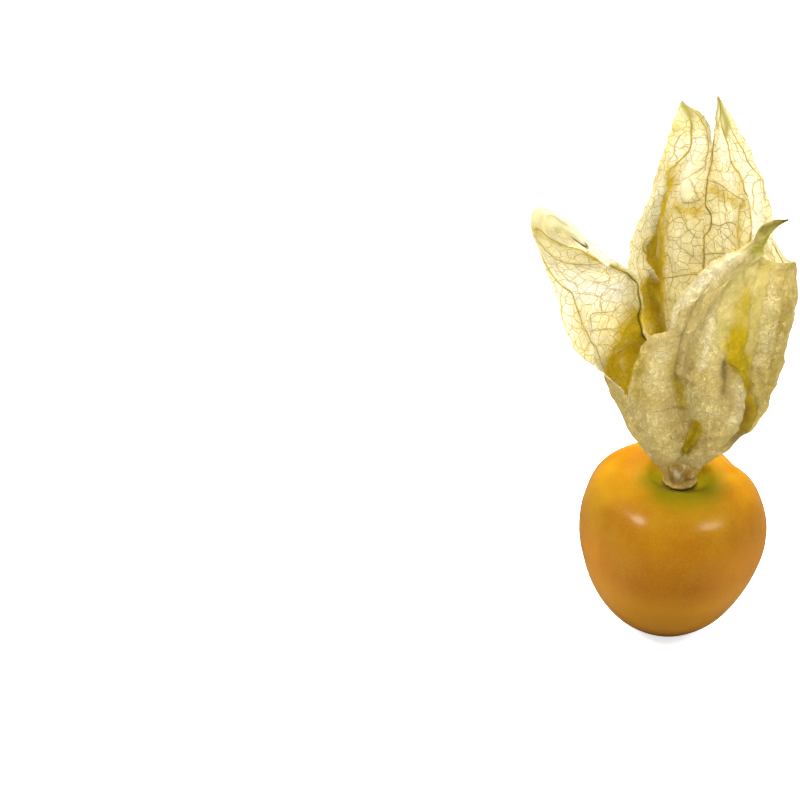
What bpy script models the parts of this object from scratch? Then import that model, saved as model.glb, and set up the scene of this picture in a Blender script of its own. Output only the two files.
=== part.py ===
"""Physalis berry (cape gooseberry) standing on its fruit, with the dry husk peeled back into an open crown.

Axes: +Z up, the viewer's side is -Y. The origin is the centre of the small flat that the berry rests on.
The fruit, the stalk, the gathered neck of the husk and its five sepals are separate solids.
Every length below is in millimetres, and is turned into metres where a mesh is made.
"""

import math

import bmesh
import bpy
from mathutils import Vector

MM = 0.001
SHARP_ANGLE = math.radians(50)

# Berry: a slightly heart-shaped fruit, widest above its middle, with a shallow hollow at the stalk.
# Each row of the profile is a radius, a height, and how far that ring has drifted along X.
BERRY_WIDTH = 20.8
BERRY_HEIGHT = 20.2
HOLLOW_FLOOR = 18.6
REST_RADIUS = 2.3
BERRY_SECTORS = 40
BERRY_PROFILE = (
    (REST_RADIUS, 0.0, 0.0),
    (4.4, 1.0, -0.3),
    (6.8, 3.2, -0.4),
    (8.6, 6.2, -0.3),
    (9.8, 9.4, -0.1),
    (BERRY_WIDTH / 2, 12.4, 0.0),
    (10.1, 15.6, 0.2),
    (8.6, 18.4, 0.4),
    (6.0, BERRY_HEIGHT, 0.5),
    (3.8, 19.6, 0.6),
    (2.0, 18.7, 0.6),
)
PROFILE_STEPS = 2
SHOULDER_START = 9.0
SHOULDER_FULL = 17.0
SHOULDER_TILT = 0.07
LOBE_DEPTH = 0.045
SIDE_GROOVE = math.radians(28)
GROOVE_SHARPNESS = 14
FAR_GROOVE = 0.35
RIPPLES = 7
RIPPLE_DEPTH = 0.008

# Stalk and neck stand on one axis, a little to the right of the flat that the berry rests on.
AXIS_X = 0.6
AXIS_Y = 0.2
GAP = 0.3
STALK_RADIUS = 0.75
STALK_SIDES = 12
STALK_STEPS = 8
STALK_PATH = ((0.0, 0.0, 19.0), (0.0, 0.0, 22.0), (0.3, 0.3, 26.0), (1.0, 0.5, 30.0))
NECK_FLOOR = 19.2
NECK_TOP = 21.1
NECK_BORE = STALK_RADIUS + GAP
NECK_FOOT_RADIUS = 1.8
NECK_TOP_RADIUS = 2.3
NECK_BULGE = 0.1
NECK_RIM = 0.2
NECK_PLEATS = 14
NECK_PLEAT_DEPTH = 0.1

# Sepals: each is a sheet that is stretched over ribs, which start around the top of the neck.
SHEET = 0.36
SEAM_INSET = 0.4
MOST_INSET = 0.25
SEPAL_FOOT_RADIUS = 2.4
SEPAL_FOOT_Z = 21.6
SEPAL_ARC = math.radians(72)
FIRST_SEAM = math.radians(236)
SHEET_ROWS = 22
SHEET_COLUMNS = 11
TIP_WIDTH = 0.9

# Seams where two neighbouring sepals are still grown together, from the neck upwards.
SEAM_FRONT_LEFT = [(-1.8, -3.0, 23.0), (-3.4, -5.2, 27.6), (-5.3, -6.3, 33.3)]
SEAM_FRONT_RIGHT = [
    (2.9, -2.6, 23.0), (6.3, -3.4, 28.8), (6.9, -5.1, 34.5), (7.0, -5.7, 39.6), (7.3, -5.7, 44.8),
    (7.8, -4.9, 48.9),
]
SEAM_BACK_RIGHT = [(3.6, 2.8, 22.8), (6.4, 4.4, 27.2)]
SEAM_BACK = [
    (0.8, 3.6, 22.8), (1.6, 6.0, 26.5), (2.2, 9.4, 32.8), (2.2, 12.2, 40.4), (2.1, 13.8, 47.3),
    (2.6, 13.4, 54.7),
]
SEAM_BACK_LEFT = [(-1.6, 2.9, 22.8), (-2.0, 4.3, 26.0)]

# Ribs of each sepal in order, counter-clockwise from above. They all end at its tip.
SEPALS = {
    "sepal_front": {
        "ribs": [
            SEAM_FRONT_LEFT + [(-3.8, -6.6, 40.3), (-0.8, -6.6, 43.2), (2.5, -5.2, 48.6), (7.0, -3.5, 51.8)],
            [(-0.7, -4.4, 23.4), (-1.5, -7.4, 29.0), (-2.4, -8.0, 35.0), (-1.1, -8.4, 40.4),
             (1.3, -8.0, 45.2), (4.0, -6.2, 48.8), (7.4, -3.8, 52.0)],
            [(0.8, -3.6, 23.4), (1.2, -5.6, 28.4), (0.9, -6.8, 35.0), (1.2, -7.4, 41.2), (2.8, -7.2, 45.8),
             (5.0, -6.0, 49.1), (7.7, -4.0, 51.9)],
            [(2.0, -3.8, 23.2), (4.2, -6.2, 28.8), (4.3, -8.1, 35.6), (4.6, -8.2, 41.2), (5.1, -7.4, 46.0),
             (6.1, -6.0, 49.2), (7.9, -4.2, 51.8)],
            SEAM_FRONT_RIGHT + [(8.3, -4.3, 51.7)],
        ],
        "tip": (10.8, -4.5, 54.9),
    },
    "sepal_right": {
        "ribs": [
            SEAM_FRONT_RIGHT,
            [(3.6, -1.3, 22.6), (7.8, -3.0, 28.0), (8.6, -5.0, 34.6), (9.4, -5.4, 40.0), (9.9, -5.2, 45.0),
             (10.0, -4.6, 49.8)],
            [(4.0, 0.3, 22.4), (8.9, -0.6, 27.7), (10.9, -1.4, 33.7), (11.6, -1.8, 38.8), (12.1, -2.2, 43.4),
             (11.9, -2.2, 48.6)],
            [(4.1, 1.7, 22.5), (8.0, 2.2, 27.2), (9.9, 2.4, 33.1), (10.9, 2.0, 38.4), (11.5, 1.2, 43.4),
             (11.3, 0.2, 48.0)],
            SEAM_BACK_RIGHT + [(8.8, 4.8, 33.0), (9.8, 4.6, 38.7), (10.4, 3.4, 44.0), (10.3, 1.6, 48.2)],
        ],
        "tip": (8.8, -1.5, 51.7),
    },
    "sepal_back_right": {
        "ribs": [
            SEAM_BACK_RIGHT + [(8.0, 6.6, 34.8), (9.7, 7.8, 44.8), (9.2, 9.2, 50.3), (6.3, 11.0, 56.4)],
            [(2.8, 3.4, 22.8), (4.8, 4.4, 27.4), (6.0, 4.8, 35.7), (7.0, 5.6, 45.2), (6.6, 8.2, 50.3),
             (4.6, 11.2, 56.0)],
            [(1.8, 3.7, 22.8), (3.2, 5.4, 26.9), (4.4, 8.2, 33.6), (4.8, 10.6, 41.3), (4.8, 12.4, 48.1),
             (3.6, 12.6, 55.3)],
            SEAM_BACK,
        ],
        "tip": (3.0, 11.4, 61.6),
    },
    "sepal_back_left": {
        "ribs": [
            SEAM_BACK,
            [(0.0, 3.7, 22.8), (0.2, 5.4, 26.6), (-0.5, 8.8, 33.0), (-1.1, 10.8, 41.0), (-0.7, 12.4, 47.8),
             (1.3, 12.5, 54.7)],
            [(-0.8, 3.4, 22.8), (-1.0, 4.6, 27.2), (-2.5, 4.6, 36.0), (-3.8, 4.8, 44.2), (-3.4, 7.4, 50.6),
             (-0.6, 11.2, 55.2)],
            SEAM_BACK_LEFT + [(-3.2, 7.4, 33.8), (-6.2, 8.4, 42.0), (-4.7, 10.2, 48.9), (-2.7, 11.0, 55.3)],
        ],
        "tip": (-0.9, 11.6, 60.7),
    },
    "sepal_left": {
        "ribs": [
            SEAM_BACK_LEFT
            + [(-3.2, 3.4, 33.2), (-3.6, -1.6, 38.8), (-4.4, 0.2, 42.0), (-5.6, 1.0, 45.0), (-9.8, 0.6, 47.8),
               (-12.4, 0.6, 49.2), (-13.6, -1.6, 51.4), (-12.2, -3.8, 50.6)],
            [(-1.9, 1.7, 22.6), (-3.0, 2.4, 26.2), (-5.3, 2.0, 33.2), (-6.0, -1.8, 38.2), (-7.2, -2.0, 42.3),
             (-9.0, -1.6, 45.6), (-12.2, -1.4, 47.9), (-14.2, -0.9, 50.2), (-15.0, -2.4, 52.3),
             (-13.0, -4.1, 51.3)],
            [(-2.1, 0.4, 22.6), (-3.8, 0.4, 26.6), (-6.7, -0.4, 33.0), (-8.0, -2.8, 37.4), (-9.6, -3.6, 41.4),
             (-11.6, -3.2, 45.4), (-13.8, -2.2, 48.4), (-15.2, -1.7, 50.8), (-15.6, -2.9, 53.0),
             (-13.6, -4.2, 52.1)],
            [(-2.1, -1.4, 22.8), (-4.3, -2.4, 27.2), (-7.4, -3.0, 33.0), (-8.8, -4.4, 36.6),
             (-10.9, -4.4, 40.0), (-13.0, -3.8, 45.2), (-14.8, -2.6, 48.9), (-15.8, -2.2, 51.3),
             (-16.0, -3.2, 53.5), (-14.0, -4.2, 52.9)],
            SEAM_FRONT_LEFT
            + [(-8.8, -5.4, 36.4), (-11.9, -5.0, 38.8), (-14.0, -4.0, 45.1), (-15.6, -3.0, 49.0),
               (-16.3, -2.6, 51.8), (-16.2, -3.4, 54.0), (-14.3, -4.2, 53.8)],
        ],
        "tip": (-9.6, -4.2, 50.4),
    },
}


def clear_scene():
    for obj in list(bpy.data.objects):
        bpy.data.objects.remove(obj, do_unlink=True)


def material(name, colour, roughness):
    """A plain surface with the sub-part's own colour and roughness."""
    made = bpy.data.materials.new(name)
    made.use_nodes = True
    shader = made.node_tree.nodes["Principled BSDF"]
    shader.inputs["Base Color"].default_value = (*colour, 1.0)
    shader.inputs["Roughness"].default_value = roughness
    shader.inputs["Metallic"].default_value = 0.0
    return made


def add_object(name, mesh_builder, finish):
    """Turns a bmesh, drawn in millimetres, into a named object in metres."""
    bmesh.ops.scale(mesh_builder, vec=(MM, MM, MM), verts=mesh_builder.verts)
    mesh = bpy.data.meshes.new(name)
    mesh_builder.to_mesh(mesh)
    mesh_builder.free()
    mesh.shade_smooth()
    mesh.set_sharp_from_angle(angle=SHARP_ANGLE)
    mesh.materials.append(finish)
    obj = bpy.data.objects.new(name, mesh)
    bpy.context.scene.collection.objects.link(obj)
    return obj


def spline_point(points, t):
    """A point on the smooth curve that passes through points, with t from 0 to 1 along them."""
    spans = len(points) - 1
    at = min(max(t, 0.0), 1.0) * spans
    i = min(int(at), spans - 1)
    f = at - i
    p1, p2 = points[i], points[i + 1]
    p0 = points[i - 1] if i > 0 else p1 * 2 - p2
    p3 = points[i + 2] if i + 2 <= spans else p2 * 2 - p1
    square = 2 * p0 - 5 * p1 + 4 * p2 - p3
    cube = 3 * p1 - p0 - 3 * p2 + p3
    return 0.5 * (2 * p1 + (p2 - p0) * f + square * f**2 + cube * f**3)


def spin_profile(outline, sectors):
    """A closed turned shape about the Z axis. The outline runs from one end of the axis to the other."""
    bm = bmesh.new()
    verts = [bm.verts.new((r, 0.0, z)) for r, z in outline]
    edges = [bm.edges.new(pair) for pair in zip(verts, verts[1:])]
    bmesh.ops.spin(
        bm, geom=verts + edges, cent=(0, 0, 0), axis=(0, 0, 1), angle=math.tau, steps=sectors, use_merge=True
    )
    bmesh.ops.remove_doubles(bm, verts=bm.verts, dist=1e-4)
    bmesh.ops.recalc_face_normals(bm, faces=bm.faces)
    return bm


def berry_rings():
    """The profile's rows, smoothed: the radius, height and drift of each ring of the berry."""
    rows = [Vector(row) for row in BERRY_PROFILE]
    steps = PROFILE_STEPS * (len(rows) - 1)
    return [spline_point(rows, i / steps) for i in range(steps + 1)]


def shoulder_at(height):
    """0 below the berry's shoulder, 1 from the top of it."""
    return min(max((height - SHOULDER_START) / (SHOULDER_FULL - SHOULDER_START), 0.0), 1.0)


def swell(azimuth, height):
    """How far the flesh stands out at an azimuth: two lobes with a groove at each side, and faint ripples."""
    groove = abs(math.cos(azimuth - SIDE_GROOVE)) ** GROOVE_SHARPNESS
    side = 0.5 + 0.5 * math.cos(azimuth - SIDE_GROOVE)
    groove *= FAR_GROOVE + (1.0 - FAR_GROOVE) * side
    ripple = RIPPLE_DEPTH * math.cos(RIPPLES * azimuth)
    return 1.0 + shoulder_at(height) * (ripple - LOBE_DEPTH * groove)


def build_berry(finish):
    rings = berry_rings()
    outline = [(0.0, 0.0)] + [(ring.x, ring.y) for ring in rings] + [(0.0, HOLLOW_FLOOR)]
    bm = spin_profile(outline, BERRY_SECTORS)
    for vert in bm.verts:
        drift = min(rings, key=lambda ring: abs(ring.y - vert.co.z) + abs(ring.x - vert.co.xy.length)).z
        out = swell(math.atan2(vert.co.y, vert.co.x), vert.co.z)
        vert.co.x = vert.co.x * out + (drift if vert.co.z > 0.0 else 0.0)
        vert.co.y = vert.co.y * out
        vert.co.z -= SHOULDER_TILT * shoulder_at(vert.co.z) * vert.co.x
    return add_object("berry", bm, finish)


def build_stalk(finish):
    """A short dry stalk, cut off square, in the middle of the crown."""
    path = [Vector(p) + Vector((AXIS_X, AXIS_Y, 0)) for p in STALK_PATH]
    bm = bmesh.new()
    ring = bmesh.ops.create_circle(bm, cap_ends=True, segments=STALK_SIDES, radius=STALK_RADIUS)["verts"]
    bmesh.ops.translate(bm, vec=path[0], verts=ring)
    face = bm.faces[:][0]
    for i in range(STALK_STEPS):
        step = spline_point(path, (i + 1) / STALK_STEPS) - spline_point(path, i / STALK_STEPS)
        pushed = bmesh.ops.extrude_face_region(bm, geom=[face])["geom"]
        if i > 0:
            bmesh.ops.delete(bm, geom=[face], context="FACES_ONLY")
        face = next(g for g in pushed if isinstance(g, bmesh.types.BMFace))
        bmesh.ops.translate(bm, vec=step, verts=face.verts)
    bmesh.ops.recalc_face_normals(bm, faces=bm.faces)
    return add_object("stalk", bm, finish)


def build_neck(finish):
    """The gathered foot of the husk: a short pleated collar around the stalk."""
    middle = (NECK_FLOOR + NECK_TOP) / 2
    outline = [
        (NECK_BORE, NECK_FLOOR),
        (NECK_FOOT_RADIUS, NECK_FLOOR),
        (NECK_FOOT_RADIUS + NECK_BULGE, middle),
        (NECK_TOP_RADIUS, NECK_TOP),
        (NECK_BORE + NECK_RIM, NECK_TOP),
        (NECK_BORE, NECK_FLOOR),
    ]
    bm = spin_profile(outline, 4 * NECK_PLEATS)
    for vert in bm.verts:
        radius = math.hypot(vert.co.x, vert.co.y)
        if radius > NECK_FOOT_RADIUS - 0.01:
            pleat = 1 + NECK_PLEAT_DEPTH / radius * math.cos(NECK_PLEATS * math.atan2(vert.co.y, vert.co.x))
            vert.co.x *= pleat
            vert.co.y *= pleat
    bmesh.ops.translate(bm, vec=(AXIS_X, AXIS_Y, 0), verts=bm.verts)
    return add_object("husk_neck", bm, finish)


def rib_curves(sepal, first_azimuth):
    """The sepal's ribs as full curves: from a foot on the neck, through the drawn points, to a narrow tip."""
    ribs = sepal["ribs"]
    ends = [Vector(rib[-1]) for rib in ribs]
    middle = sum(ends, Vector()) / len(ends)
    narrowing = TIP_WIDTH / (ends[-1] - ends[0]).length
    curves = []
    for i, rib in enumerate(ribs):
        azimuth = first_azimuth + SEPAL_ARC * i / (len(ribs) - 1)
        foot = Vector(
            (
                AXIS_X + SEPAL_FOOT_RADIUS * math.cos(azimuth),
                AXIS_Y + SEPAL_FOOT_RADIUS * math.sin(azimuth),
                SEPAL_FOOT_Z,
            )
        )
        end = Vector(sepal["tip"]) + (ends[i] - middle) * narrowing
        curves.append([foot] + [Vector(p) for p in rib] + [end])
    return curves


def sheet_point(curves, across, along):
    """A point on the sheet, which stops short of its two outer ribs by the inset."""
    row = [spline_point(curve, along) for curve in curves]
    spans = len(row) - 1
    low = min(SEAM_INSET / ((row[1] - row[0]).length * spans), MOST_INSET)
    high = min(SEAM_INSET / ((row[-1] - row[-2]).length * spans), MOST_INSET)
    return spline_point(row, low + (1 - low - high) * across)


def build_sepal(name, sepal, first_azimuth, finish):
    curves = rib_curves(sepal, first_azimuth)
    bm = bmesh.new()
    bmesh.ops.create_grid(bm, x_segments=SHEET_COLUMNS, y_segments=SHEET_ROWS, size=0.5)
    for vert in bm.verts:
        vert.co = sheet_point(curves, vert.co.x + 0.5, vert.co.y + 0.5)
    obj = add_object(name, bm, finish)
    solidify = obj.modifiers.new("sheet", "SOLIDIFY")
    solidify.thickness = SHEET * MM
    solidify.offset = 0.0
    return obj


def main():
    clear_scene()
    build_berry(material("berry_skin", (0.60, 0.29, 0.01), 0.28))
    build_stalk(material("dry_stalk", (0.30, 0.22, 0.07), 0.8))
    build_neck(material("husk_neck", (0.28, 0.18, 0.06), 0.8))
    papery = material("husk_paper", (0.72, 0.58, 0.22), 0.65)
    for i, (name, sepal) in enumerate(SEPALS.items()):
        build_sepal(name, sepal, FIRST_SEAM + i * SEPAL_ARC, papery)


main()
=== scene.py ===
import math

import bmesh
import bpy
import numpy as np
from bpy.props import FloatProperty, FloatVectorProperty, IntProperty, PointerProperty
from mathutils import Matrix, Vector, noise


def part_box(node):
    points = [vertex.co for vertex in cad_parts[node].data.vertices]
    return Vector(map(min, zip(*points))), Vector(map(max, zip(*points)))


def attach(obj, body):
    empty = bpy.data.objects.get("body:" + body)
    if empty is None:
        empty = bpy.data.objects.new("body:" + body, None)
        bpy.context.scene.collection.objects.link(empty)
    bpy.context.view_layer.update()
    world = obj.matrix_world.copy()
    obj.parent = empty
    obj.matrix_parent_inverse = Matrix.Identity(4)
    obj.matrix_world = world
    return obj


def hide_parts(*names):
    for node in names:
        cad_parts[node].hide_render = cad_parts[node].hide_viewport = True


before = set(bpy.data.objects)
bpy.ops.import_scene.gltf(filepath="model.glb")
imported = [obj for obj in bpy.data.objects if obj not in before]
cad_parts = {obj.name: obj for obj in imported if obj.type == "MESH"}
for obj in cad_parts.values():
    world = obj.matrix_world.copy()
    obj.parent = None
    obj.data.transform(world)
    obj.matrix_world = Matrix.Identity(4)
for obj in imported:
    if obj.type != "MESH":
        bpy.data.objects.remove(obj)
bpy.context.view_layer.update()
NECK_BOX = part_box("husk_neck")
STALK_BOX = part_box("stalk")

bl_info = {
    "name": "Physalis berry",
    "version": (1, 0, 0),
    "blender": (4, 5, 0),
    "location": "3D View > Sidebar > Physalis",
    "description": "Builds a physalis berry with its dry husk peeled up into a crown",
    "category": "Object",
}

MM = 0.001
SETTINGS = "physalis"
# A sepal's UV map shrinks a millimetre to this, so that the whole sepal fits on it.
UV_PER_MM = 1 / 60

# ---------------------------------------------------------------------------------- finishes

# The two faces of a sheet. "net" is how strongly the coarse, medium and fine veins of the net show, "pale"
# the painted light where one layer glows with light behind it and along lit ridges and margins, "streak" how
# dark the fibres are, and "lets through" the share of light that shines through the sheet.
INNER_FACE = {
    "net": (0.4, 0.8, 0.3),
    "main veins": 0.25,
    "vein ridge": 0.025,
    "pale": (1.0, 0.99, 0.90),
    "streak": 0.95,
    "roughness": 0.6,
    "lets through": 0.6,
}
OUTER_FACE = {
    "net": (0.12, 0.15, 0.05),
    "main veins": 0.1,
    "vein ridge": 0.08,
    "pale": (0.93, 0.84, 0.52),
    "streak": 0.92,
    "roughness": 0.75,
    "lets through": 0.35,
}
# Colours of the sheets, beside those in the settings. A tint multiplies the colour under it.
MOTTLE_TINT = (0.94, 0.88, 0.70)
DULL_TINT = (0.83, 0.77, 0.60)
LIGHT_TINT = (1.18, 1.21, 1.36)
SMOOTH_DEEP = (0.45, 0.36, 0.08)
SMOOTH_LIGHT = (0.57, 0.47, 0.16)
# Painted shade on the outer face: the deeper yellow of valleys, slits and folds.
OUTER_AMBER = (0.47, 0.34, 0.003)
OUTER_VEIN = (0.92, 0.82, 0.48)
OUTER_GLOW = (0.98, 0.97, 0.82)
STILL_GREEN = (0.33, 0.31, 0.02)
# Dark tips, and painted shade in grooves, slits and under overlapping edges.
DARK_TIPS_AND_PAINTED_SHADE = (0.17, 0.085, 0.004)
# Painted shade on the vein that runs along a curled margin in shadow.
DARK_VEIN = (0.16, 0.10, 0.003)
# The vein net's cells: how many to a mm, and the width in mm of the lines between them.
NET_SIZES = (("Coarse", 0.45, 0.04), ("Medium", 0.85, 0.04), ("Fine", 2.0, 0.028))
# Creases, from long to short: how many to a mm, how wide, and their height in mm.
CREASE_SIZES = ((0.8, 0.035, 0.16), (1.7, 0.05, 0.10), (3.6, 0.07, 0.05))

# The berry's skin, beside the colours in the settings.
# Painted light: the flanks to left and right made lighter, as sides lit by the lights.
PAINTED_LIT_FLANK = (0.37, 0.135, 0.0004)
DEEP_FLESH = (0.19, 0.055, 0.0002)
# Painted light: a lighter band low on the berry for light thrown up from the floor.
PAINTED_BOUNCE_LIGHT = (0.42, 0.185, 0.006)
# Painted shade: the skin darker towards the foot, where less light reaches.
PAINTED_UNDERSIDE_SHADE = (0.20, 0.075, 0.004)
SPECK = (0.52, 0.27, 0.01)
BERRY_GLOSS = {
    "Roughness": 0.42,
    "Coat Weight": 0.22,
    "Coat Roughness": 0.22,
    "Specular IOR Level": 0.26,
    "Specular Tint": (1.0, 0.72, 0.2, 1.0),
    "Subsurface Weight": 0.25,
    "Subsurface Radius": (1.0, 0.45, 0.08),
    "Subsurface Scale": 0.0022,
}

NECK_BROWN = (0.31, 0.18, 0.022)
NECK_TAN = (0.50, 0.33, 0.08)
NECK_DULL = (0.36, 0.25, 0.07)
NECK_GREY = (0.62, 0.54, 0.33)
# Painted highlight: a lighter band low on the neck's lip.
NECK_PAINTED_HIGHLIGHT = (0.52, 0.35, 0.10)
# Painted shadow: near-black at the foot of the neck where it sits in the dip.
NECK_PAINTED_SHADOW = (0.06, 0.045, 0.006)
STALK_DARK = (0.20, 0.14, 0.04)
STALK_LIGHT = (0.42, 0.34, 0.14)

# The stage, in metres: where the lights point, and where the camera does.
LIT_POINT = Vector((0.0, 0.0, 0.03))
AIM_POINT = Vector((-0.031, 0.0, 0.0281))

# ---------------------------------------------------------------------------------- shapes, in mm

NECK_X = (NECK_BOX[0].x + NECK_BOX[1].x) / 2 / MM
NECK_Y = (NECK_BOX[0].y + NECK_BOX[1].y) / 2 / MM
NECK_FOOT_Z = NECK_BOX[0].z / MM
NECK_RIM_Z = NECK_BOX[1].z / MM
NECK_SIDES = 180
NECK_RINGS = 78
STALK_RADIUS = 0.7
STALK_SIDES = 40
STALK_STEPS = 60

# The berry's outline from its flat foot up and over into the dip under the neck: radius, height, and how far
# that ring is off centre along x.
BERRY_PROFILE = (
    (2.3, 0.0, 0.0),
    (4.4, 1.0, -0.3),
    (6.9, 3.2, -0.3),
    (8.8, 6.2, -0.2),
    (10.0, 9.4, -0.05),
    (10.55, 12.4, 0.0),
    (10.35, 15.7, 0.1),
    (8.95, 18.6, 0.2),
    (6.4, 20.2, 0.4),
    (4.2, 20.3, 0.6),
    (2.9, 19.55, 0.6),
    (1.9, 18.95, 0.6),
)
DIP_Z = 18.8
# The berry's radius, roughly: it turns a dent in mm into a share.
ROUGH_RADIUS = 10.0
# The groove between the two lobes is deepest at this azimuth and weaker on the opposite side.
GROOVE_SIDE = math.radians(38)
GROOVE_SHARPNESS = 34
# The green halo lies a little in front of the neck.
HALO_CENTRE = (NECK_X + 0.2, NECK_Y - 2.1, 19.2)

# The neck's wall, out and up from the dip and back down inside: radius, and height above the dip.
NECK_PROFILE = (
    (0.8, 0.0),
    (1.5, -0.1),
    (1.75, 0.0),
    (1.9, 0.3),
    (1.8, 0.7),
    (1.95, 1.3),
    (2.2, 2.0),
    (2.6, 3.0),
    (2.95, 4.0),
    (3.1, 4.7),
    (2.8, 4.7),
    (2.1, 3.2),
    (1.3, 1.5),
    (0.8, 0.0),
)

# The ring on the neck where the sepals start. It is tilted, highest at FOOT_HIGH_SIDE.
FOOT_RADIUS = 2.95
FOOT_Z = 22.7
FOOT_TILT = 0.4
FOOT_HIGH_SIDE = math.radians(310)
SEPAL_ARC = math.radians(72)
FIRST_SEAM = math.radians(236)

# How far the matte outer skin stands out over the smooth layer.
SKIN = 0.09
# A main vein draws the sheet in by VEIN_GROOVE, and its cord lies VEIN_LIFT in from the middle of the sheet.
VEIN_GROOVE = 0.05
VEIN_LIFT = 0.05
VEIN_SIDES = 6
USUAL_FOLDS = 0.16
# A stroke is worked out only in the rows within REACH of its line. Elsewhere its line counts as FAR away.
REACH = 7.0
FAR = 99.0

# Seams that two neighbours share, from just above the foot ring up.
SEAM_FRONT_LEFT = [(-1.8, -3.0, 23.0), (-3.8, -5.0, 27.6), (-5.3, -6.3, 33.3)]
SEAM_FRONT_RIGHT = [
    (2.9, -2.6, 23.0), (6.3, -3.4, 28.8), (6.9, -5.3, 34.5), (7.0, -6.1, 39.6), (7.3, -6.1, 44.8),
    (7.8, -5.1, 48.9),
]
SEAM_BACK_RIGHT = [(3.6, 2.8, 22.8), (6.4, 4.4, 27.2)]
SEAM_BACK = [
    (0.8, 3.6, 22.8), (1.6, 6.0, 26.5), (2.2, 9.4, 32.8), (2.2, 12.2, 40.4), (2.1, 13.8, 47.3),
    (2.6, 13.4, 54.7),
]
SEAM_BACK_LEFT = [(-1.6, 2.9, 22.8), (-2.4, 4.0, 26.4)]

# Lines that more than one stroke follows, as places on a sepal.
FRONT_CREST = [
    (0.30, 0.715), (0.29, 0.655), (0.30, 0.60), (0.34, 0.54), (0.37, 0.46), (0.39, 0.41), (0.49, 0.39),
]
BACK_LEFT_FOLD = [
    (0.66, 0.72), (0.64, 0.68), (0.62, 0.625), (0.68, 0.58), (0.71, 0.55), (0.70, 0.52), (0.63, 0.485),
    (0.54, 0.46),
]
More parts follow.
